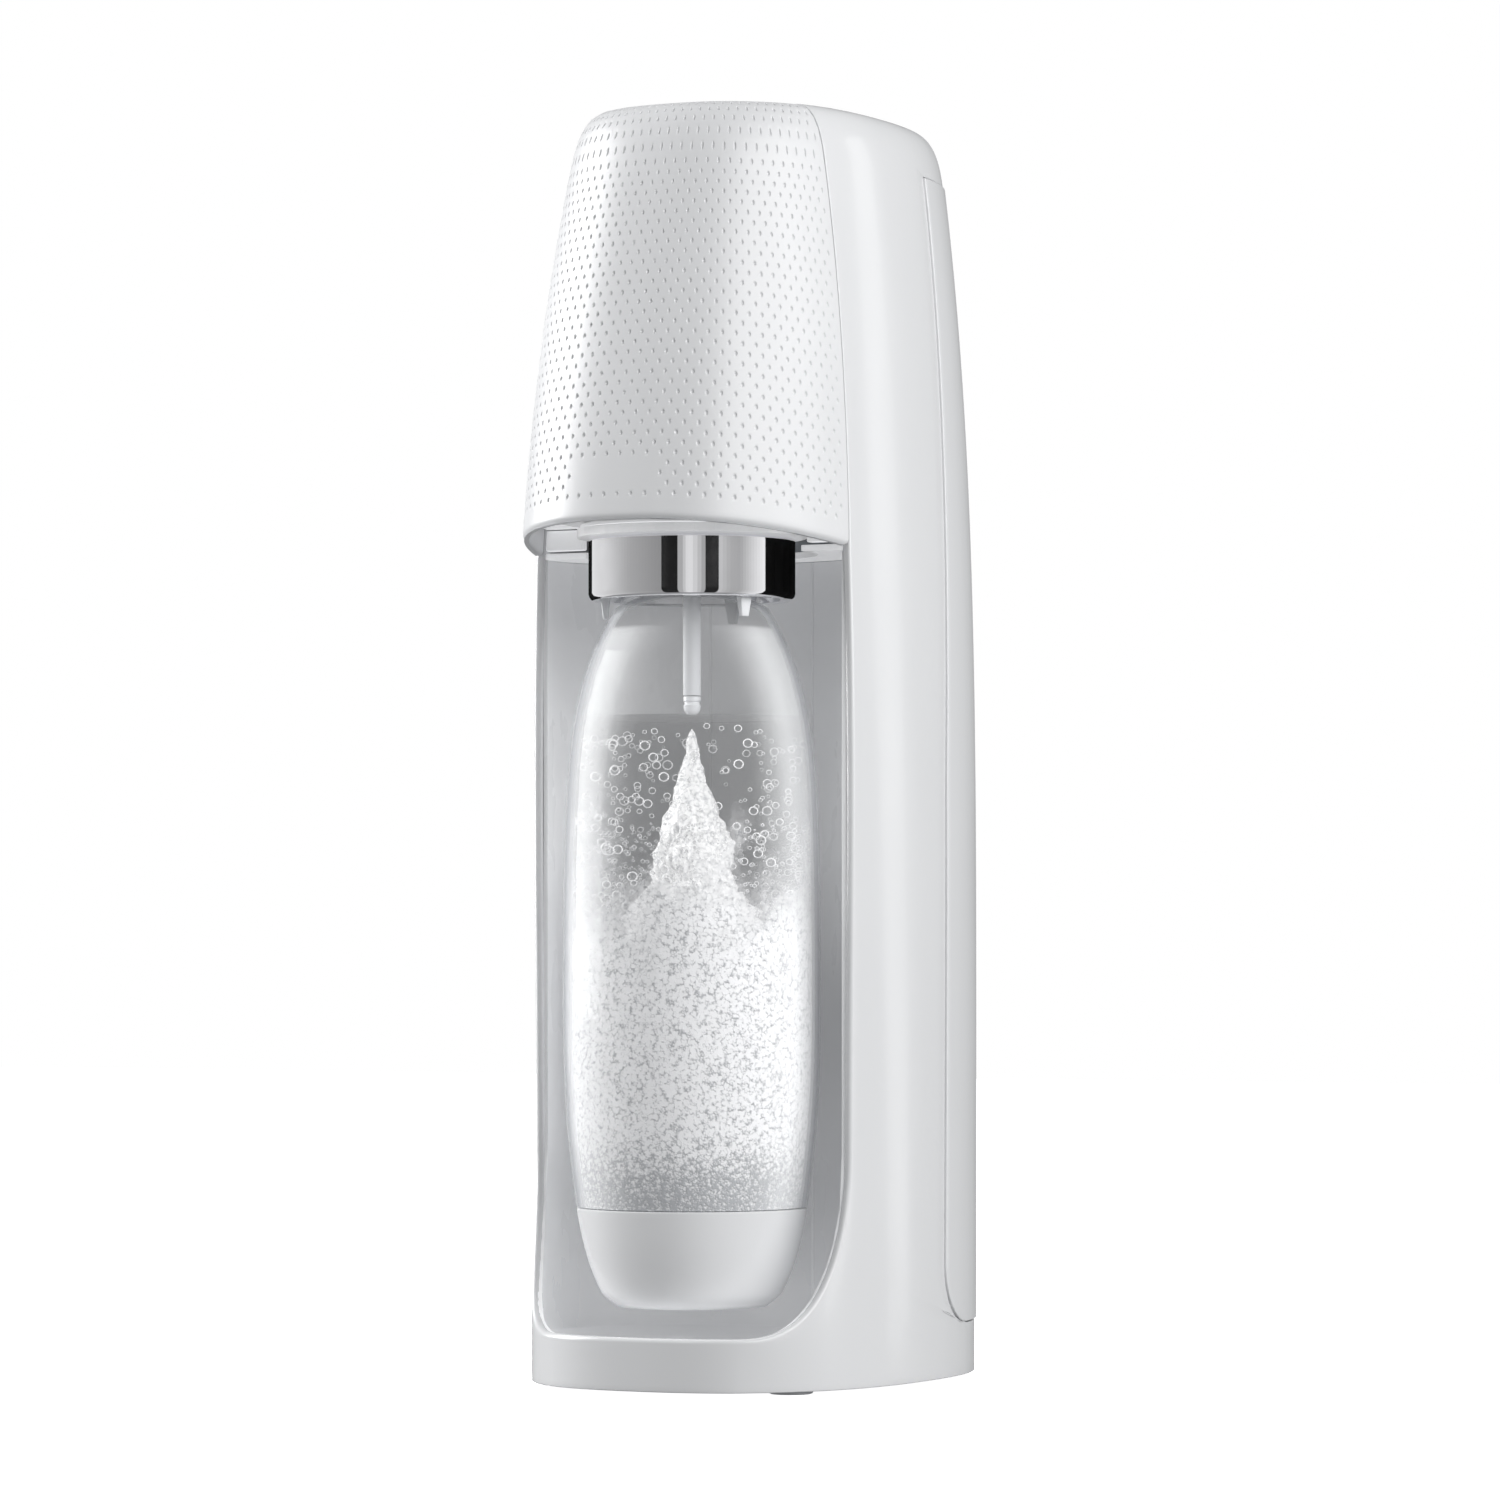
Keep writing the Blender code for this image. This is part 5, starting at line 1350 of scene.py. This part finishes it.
class CARBONATOR_OT_works(bpy.types.Operator):
    """Finishes the works inside the case, each with its own plastic, metal or rubber"""

    bl_idname = "carbonator.works"
    bl_label = "Inner works"

    def execute(self, context):
        kinds = {
            # The soffit finish carries painted light: the lighter niche white and a glow, for the shade under
            # the head.
            "soffit": ("head_floor", "niche_ceiling", "holder_yoke"),
            "holder": ("carbonation_head",),
            "frame": ("chassis", "base_plate", "cylinder_cradle", "bulkhead", "press_bar", "push_lever"),
            "steel": ("lever_axle", "tilt_axle", "valve_pin", "return_spring_left", "return_spring_right",
                      "deck_screw_left", "deck_screw_right", "base_screw_left", "base_screw_right"),
            "cast": ("valve_block",),
            "brass": ("cylinder_valve", "relief_valve", "hose_nut_pivot", "hose_nut_valve"),
            "cylinder": ("gas_cylinder",),
            "rubber": ("gas_hose", "valve_seal", "bottle_seal"),
        }
        for side in (-1, 1):
            clear_selection()
            bpy.ops.mesh.primitive_cube_add(size=1, location=(0, 0, 0))
            cheek = added("cheek_left" if side < 0 else "cheek_right")
            for vert in cheek.data.vertices:
                vert.co = (side * (0.0505 + vert.co.x * 0.0160), OPENING_Y + 0.0034 + vert.co.y * 0.0040,
                           0.2828 + vert.co.z * 0.0068)
            choose(cheek, "EDGE", lambda edge: True)
            with editing(cheek):
                bpy.ops.mesh.bevel(offset=0.0006, segments=3, affect="EDGES")
            face_out(cheek)
            # Painted light: the soffit finish brightens the shade under the head.
            finished(moved(cheek), finishes["soffit"], "head_white", "case")
        for key, names in kinds.items():
            for name in names:
                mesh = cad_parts[name].data
                mesh.materials.clear()
                mesh.materials.append(finishes[key])
        return {"FINISHED"}


# ---- Stage ------------------------------------------------------------------
def toward(camera_turn, side):
    """The direction, in plan, that lies side radians to the camera's right as the object sees it."""
    return Vector((math.sin(camera_turn + side), -math.cos(camera_turn + side), 0))


def glow(name, strength, colour=(1, 1, 1)):
    made = Finish(name, roughness=1.0)
    made.shader.inputs["Base Color"].default_value = (0, 0, 0, 1)
    made.shader.inputs["Emission Color"].default_value = (*colour, 1)
    made.shader.inputs["Emission Strength"].default_value = strength
    return made.material


EYE_HEIGHT, LENS, SENSOR_WIDTH = 0.14778, 142.53, 36
SHIFT_X, SHIFT_Y, CLIP_END = -0.0033, 0.1281, 50
RING_CARDS_LOW, RING_CARDS_HIGH, RING_CARDS_OUT = 0.250, 0.300, 0.0056


class CARBONATOR_OT_stage(bpy.types.Operator):
    """Sets the camera, the pale floor, the soft light and the reflector cards"""

    bl_idname = "carbonator.stage"
    bl_label = "Stage"

    def execute(self, context):
        stage = context.scene.carbonator_stage
        self.camera(context, stage)
        self.floor()
        self.lights(context, stage)
        self.cards(stage)
        context.scene.view_settings.view_transform = "Standard"
        return {"FINISHED"}

    def camera(self, context, stage):
        away = toward(stage.turn, 0) * stage.distance
        clear_selection()
        bpy.ops.object.camera_add(location=(away.x, away.y + CENTRE_Y, EYE_HEIGHT),
                                  rotation=(math.pi / 2, 0, stage.turn))
        camera = bpy.context.active_object
        camera.data.lens = LENS
        camera.data.sensor_width = SENSOR_WIDTH
        camera.data.shift_x = SHIFT_X
        camera.data.shift_y = SHIFT_Y
        camera.data.clip_end = CLIP_END
        context.scene.camera = camera

    def floor(self):
        clear_selection()
        bpy.ops.mesh.primitive_plane_add(size=8, location=(0, 0, 0))
        plane = added("pale_floor")
        made = Finish("floor paper", roughness=0.9)
        tone = made.noise(3.0, 2.0)
        made.drive("Base Color", made.tint(tone, (0.93, 0.93, 0.93), (0.95, 0.95, 0.95)))
        made.shader.inputs["Emission Color"].default_value = (1, 1, 1, 1)
        made.shader.inputs["Emission Strength"].default_value = 0.92
        plane.data.materials.append(made.material)
        plane.visible_diffuse = False
        plane.visible_glossy = False

    def lights(self, context, stage):
        world = bpy.data.worlds.new("white room")
        context.scene.world = world
        world.use_nodes = True
        tree = world.node_tree
        tree.nodes.clear()
        path = tree.nodes.new("ShaderNodeLightPath")
        seen, lit = tree.nodes.new("ShaderNodeBackground"), tree.nodes.new("ShaderNodeBackground")
        lit.inputs["Color"].default_value = (0.98, 0.99, 1.0, 1)
        lit.inputs["Strength"].default_value = stage.room_light
        seen.inputs["Color"].default_value = (1, 1, 1, 1)
        mix, out = tree.nodes.new("ShaderNodeMixShader"), tree.nodes.new("ShaderNodeOutputWorld")
        tree.links.new(path.outputs["Is Camera Ray"], mix.inputs[0])
        tree.links.new(lit.outputs[0], mix.inputs[1])
        tree.links.new(seen.outputs[0], mix.inputs[2])
        tree.links.new(mix.outputs[0], out.inputs[0])
        for side, distance, height, size, share in (
            (math.radians(42), 1.9, 1.05, (2.0, 1.6), 1.1),
            (math.radians(-106), 1.8, 0.80, (1.3, 1.5), 1.5),
            (math.radians(-31), 1.7, 0.85, (0.16, 0.9), 0.030),
            (math.radians(74), 1.7, 0.60, (0.40, 1.2), 0.15),
            (math.radians(112), 1.6, 0.50, (0.30, 1.2), 0.045),
        ):
            self.soft_box(stage, side, distance, height, size, stage.key_power * share)

    def soft_box(self, stage, side, distance, height, size, power):
        spot = toward(stage.turn, side) * distance + Vector((0, 0, height))
        aim = Vector((0, 0, 0.22)) - spot
        clear_selection()
        turn = aim.to_track_quat("-Z", "Y").to_euler()
        bpy.ops.object.light_add(type="AREA", location=spot, rotation=turn)
        light = bpy.context.active_object
        light.data.shape = "RECTANGLE"
        light.data.size, light.data.size_y = size
        light.data.energy = power

    def cards(self, stage):
        """Bright and dark cards close round the snap ring, which only reflections see."""
        steps = (
            (-90, 0.0), (-74, 0.85), (-66, 0.78), (-56, 0.66), (-46, 0.55), (-36, 0.42), (-16.6, 0.30),
            (-16.5, 0.01), (-7.4, 0.36), (-4.5, 0.52), (-1.5, 0.85), (3.5, 0.62), (7.8, 0.34),
            (7.9, 0.01), (15.3, 0.60), (22, 0.44), (28, 0.42), (35, 0.66), (44.9, 0.98), (45, 0.0),
            (86, 0.0),
        )
        reach = RING_RADIUS + RING_CARDS_OUT
        heights = RING_CARDS_LOW, RING_CARDS_HIGH
        strips = []
        for (start, glare), (end, next_glare) in zip(steps, steps[1:]):
            jump = min(glare, next_glare) < 0.05
            cuts = 1 if jump else max(1, round((end - start) / 2))
            for i in range(cuts):
                strips.append((start + (end - start) * i / cuts, start + (end - start) * (i + 1) / cuts,
                               glare if jump else glare + (next_glare - glare) * (i + 0.5) / cuts))
        for start, end, glare in strips:
            columns = []
            for share in spread(0, 1, 5):
                spot = math.radians(start + (end - start) * share)
                angle = 2 * spot - math.asin(RING_RADIUS / reach * math.sin(spot))
                side = toward(stage.turn, angle) * reach
                columns.append([Vector((side.x, side.y + CENTRE_Y + BOTTLE_Y, z)) for z in heights])
            card = grid("card", columns)
            card.data.materials.append(glow("card", glare))
            card.visible_camera = False
            card.visible_diffuse = False
            card.visible_shadow = False
            card.visible_transmission = False


# ---- The add-on -------------------------------------------------------------
OPERATORS = (
    CARBONATOR_OT_stage, CARBONATOR_OT_case_shell, CARBONATOR_OT_niche, CARBONATOR_OT_tray,
    CARBONATOR_OT_cover, CARBONATOR_OT_press_head, CARBONATOR_OT_bottle, CARBONATOR_OT_water,
    CARBONATOR_OT_holder, CARBONATOR_OT_feet, CARBONATOR_OT_works,
)


class CARBONATOR_PT_panel(bpy.types.Panel):
    """Lists the carbonator's pieces and its sizes"""

    bl_label = "Soda Carbonator"
    bl_idname = "CARBONATOR_PT_panel"
    bl_space_type = "VIEW_3D"
    bl_region_type = "UI"
    bl_category = "Carbonator"

    def draw(self, context):
        for kind in GROUPS:
            box = self.layout.box()
            group = getattr(context.scene, property_name(kind))
            for name in kind.__annotations__:
                box.prop(group, name)
        for kind in OPERATORS:
            self.layout.operator(kind.bl_idname)


def property_name(kind):
    return "carbonator_" + kind.__name__.removeprefix("Carbonator").lower()


def register():
    for kind in GROUPS:
        bpy.utils.register_class(kind)
        setattr(bpy.types.Scene, property_name(kind), bpy.props.PointerProperty(type=kind))
    for kind in (*OPERATORS, CARBONATOR_PT_panel):
        bpy.utils.register_class(kind)


def unregister():
    for kind in (CARBONATOR_PT_panel, *reversed(OPERATORS)):
        bpy.utils.unregister_class(kind)
    for kind in reversed(GROUPS):
        delattr(bpy.types.Scene, property_name(kind))
        bpy.utils.unregister_class(kind)


finishes = {}


def mix_finishes(context):
    colours = context.scene.carbonator_colours
    shell, niche = tuple(colours.shell), tuple(colours.niche)
    finishes.update(
        case=moulded("case plastic", shell, 0.20, 0.5, 0.2),
        head=moulded("head plastic", shell, 0.34, 0.5),
        # Niche, tray and soffit carry painted light: the lighter niche white and a glow (lift) that brightens
        # their shade.
        niche=moulded("niche plastic", niche, 0.30, 0.6, lift=0.105),
        tray=moulded("tray plastic", niche, 0.34, 0.7, lift=0.105),
        soffit=moulded("soffit plastic", niche, 0.32, 0.6, lift=0.26, fade=(0.32, 0.36)),
        cup=moulded("cup plastic", shade(shell, 1.12), 0.24, 0.5, 0.1),
        holder=satin_plastic("holder plastic", (0.72, 0.73, 0.75), 0.36),
        nozzle=moulded("nozzle plastic", (0.80, 0.81, 0.83), 0.22, 0.4),
        frame=satin_plastic("frame plastic", (0.50, 0.51, 0.53), 0.50),
        chrome=plated("bright chrome", tuple(colours.metal)),
        steel=machined("turned steel", (0.62, 0.63, 0.65), 0.28),
        cast=machined("cast alloy", (0.56, 0.57, 0.58), 0.42, (1, 1, 1)),
        brass=machined("turned brass", (0.78, 0.60, 0.30), 0.30),
        cylinder=enamelled("cylinder enamel", tuple(colours.cylinder)),
        rubber=rubbered("black rubber"),
        foot=satin_plastic("foot rubber", (0.52, 0.53, 0.55), 0.6),
        bottle=clear_wall("clear bottle"),
        water=water("charged water"),
        # Bubble rims: the white second colour is a painted highlight.
        bubble=gas("bubble skin", (0.70, 0.71, 0.73), (1.0, 1.0, 1.0), 0.06, 0.85),
        fizz=gas("fizz skin", (0.62, 0.63, 0.65), (1.0, 1.0, 1.0), 0.25, 0.90),
        foam=foam("foam jet"),
    )


def main():
    register()
    mix_finishes(bpy.context)
    for kind in OPERATORS:
        group, name = kind.bl_idname.split(".")
        result = getattr(getattr(bpy.ops, group), name)()
        if result != {"FINISHED"}:
            raise RuntimeError(f"{kind.bl_label} did not finish")


if __name__ == "__main__":
    main()
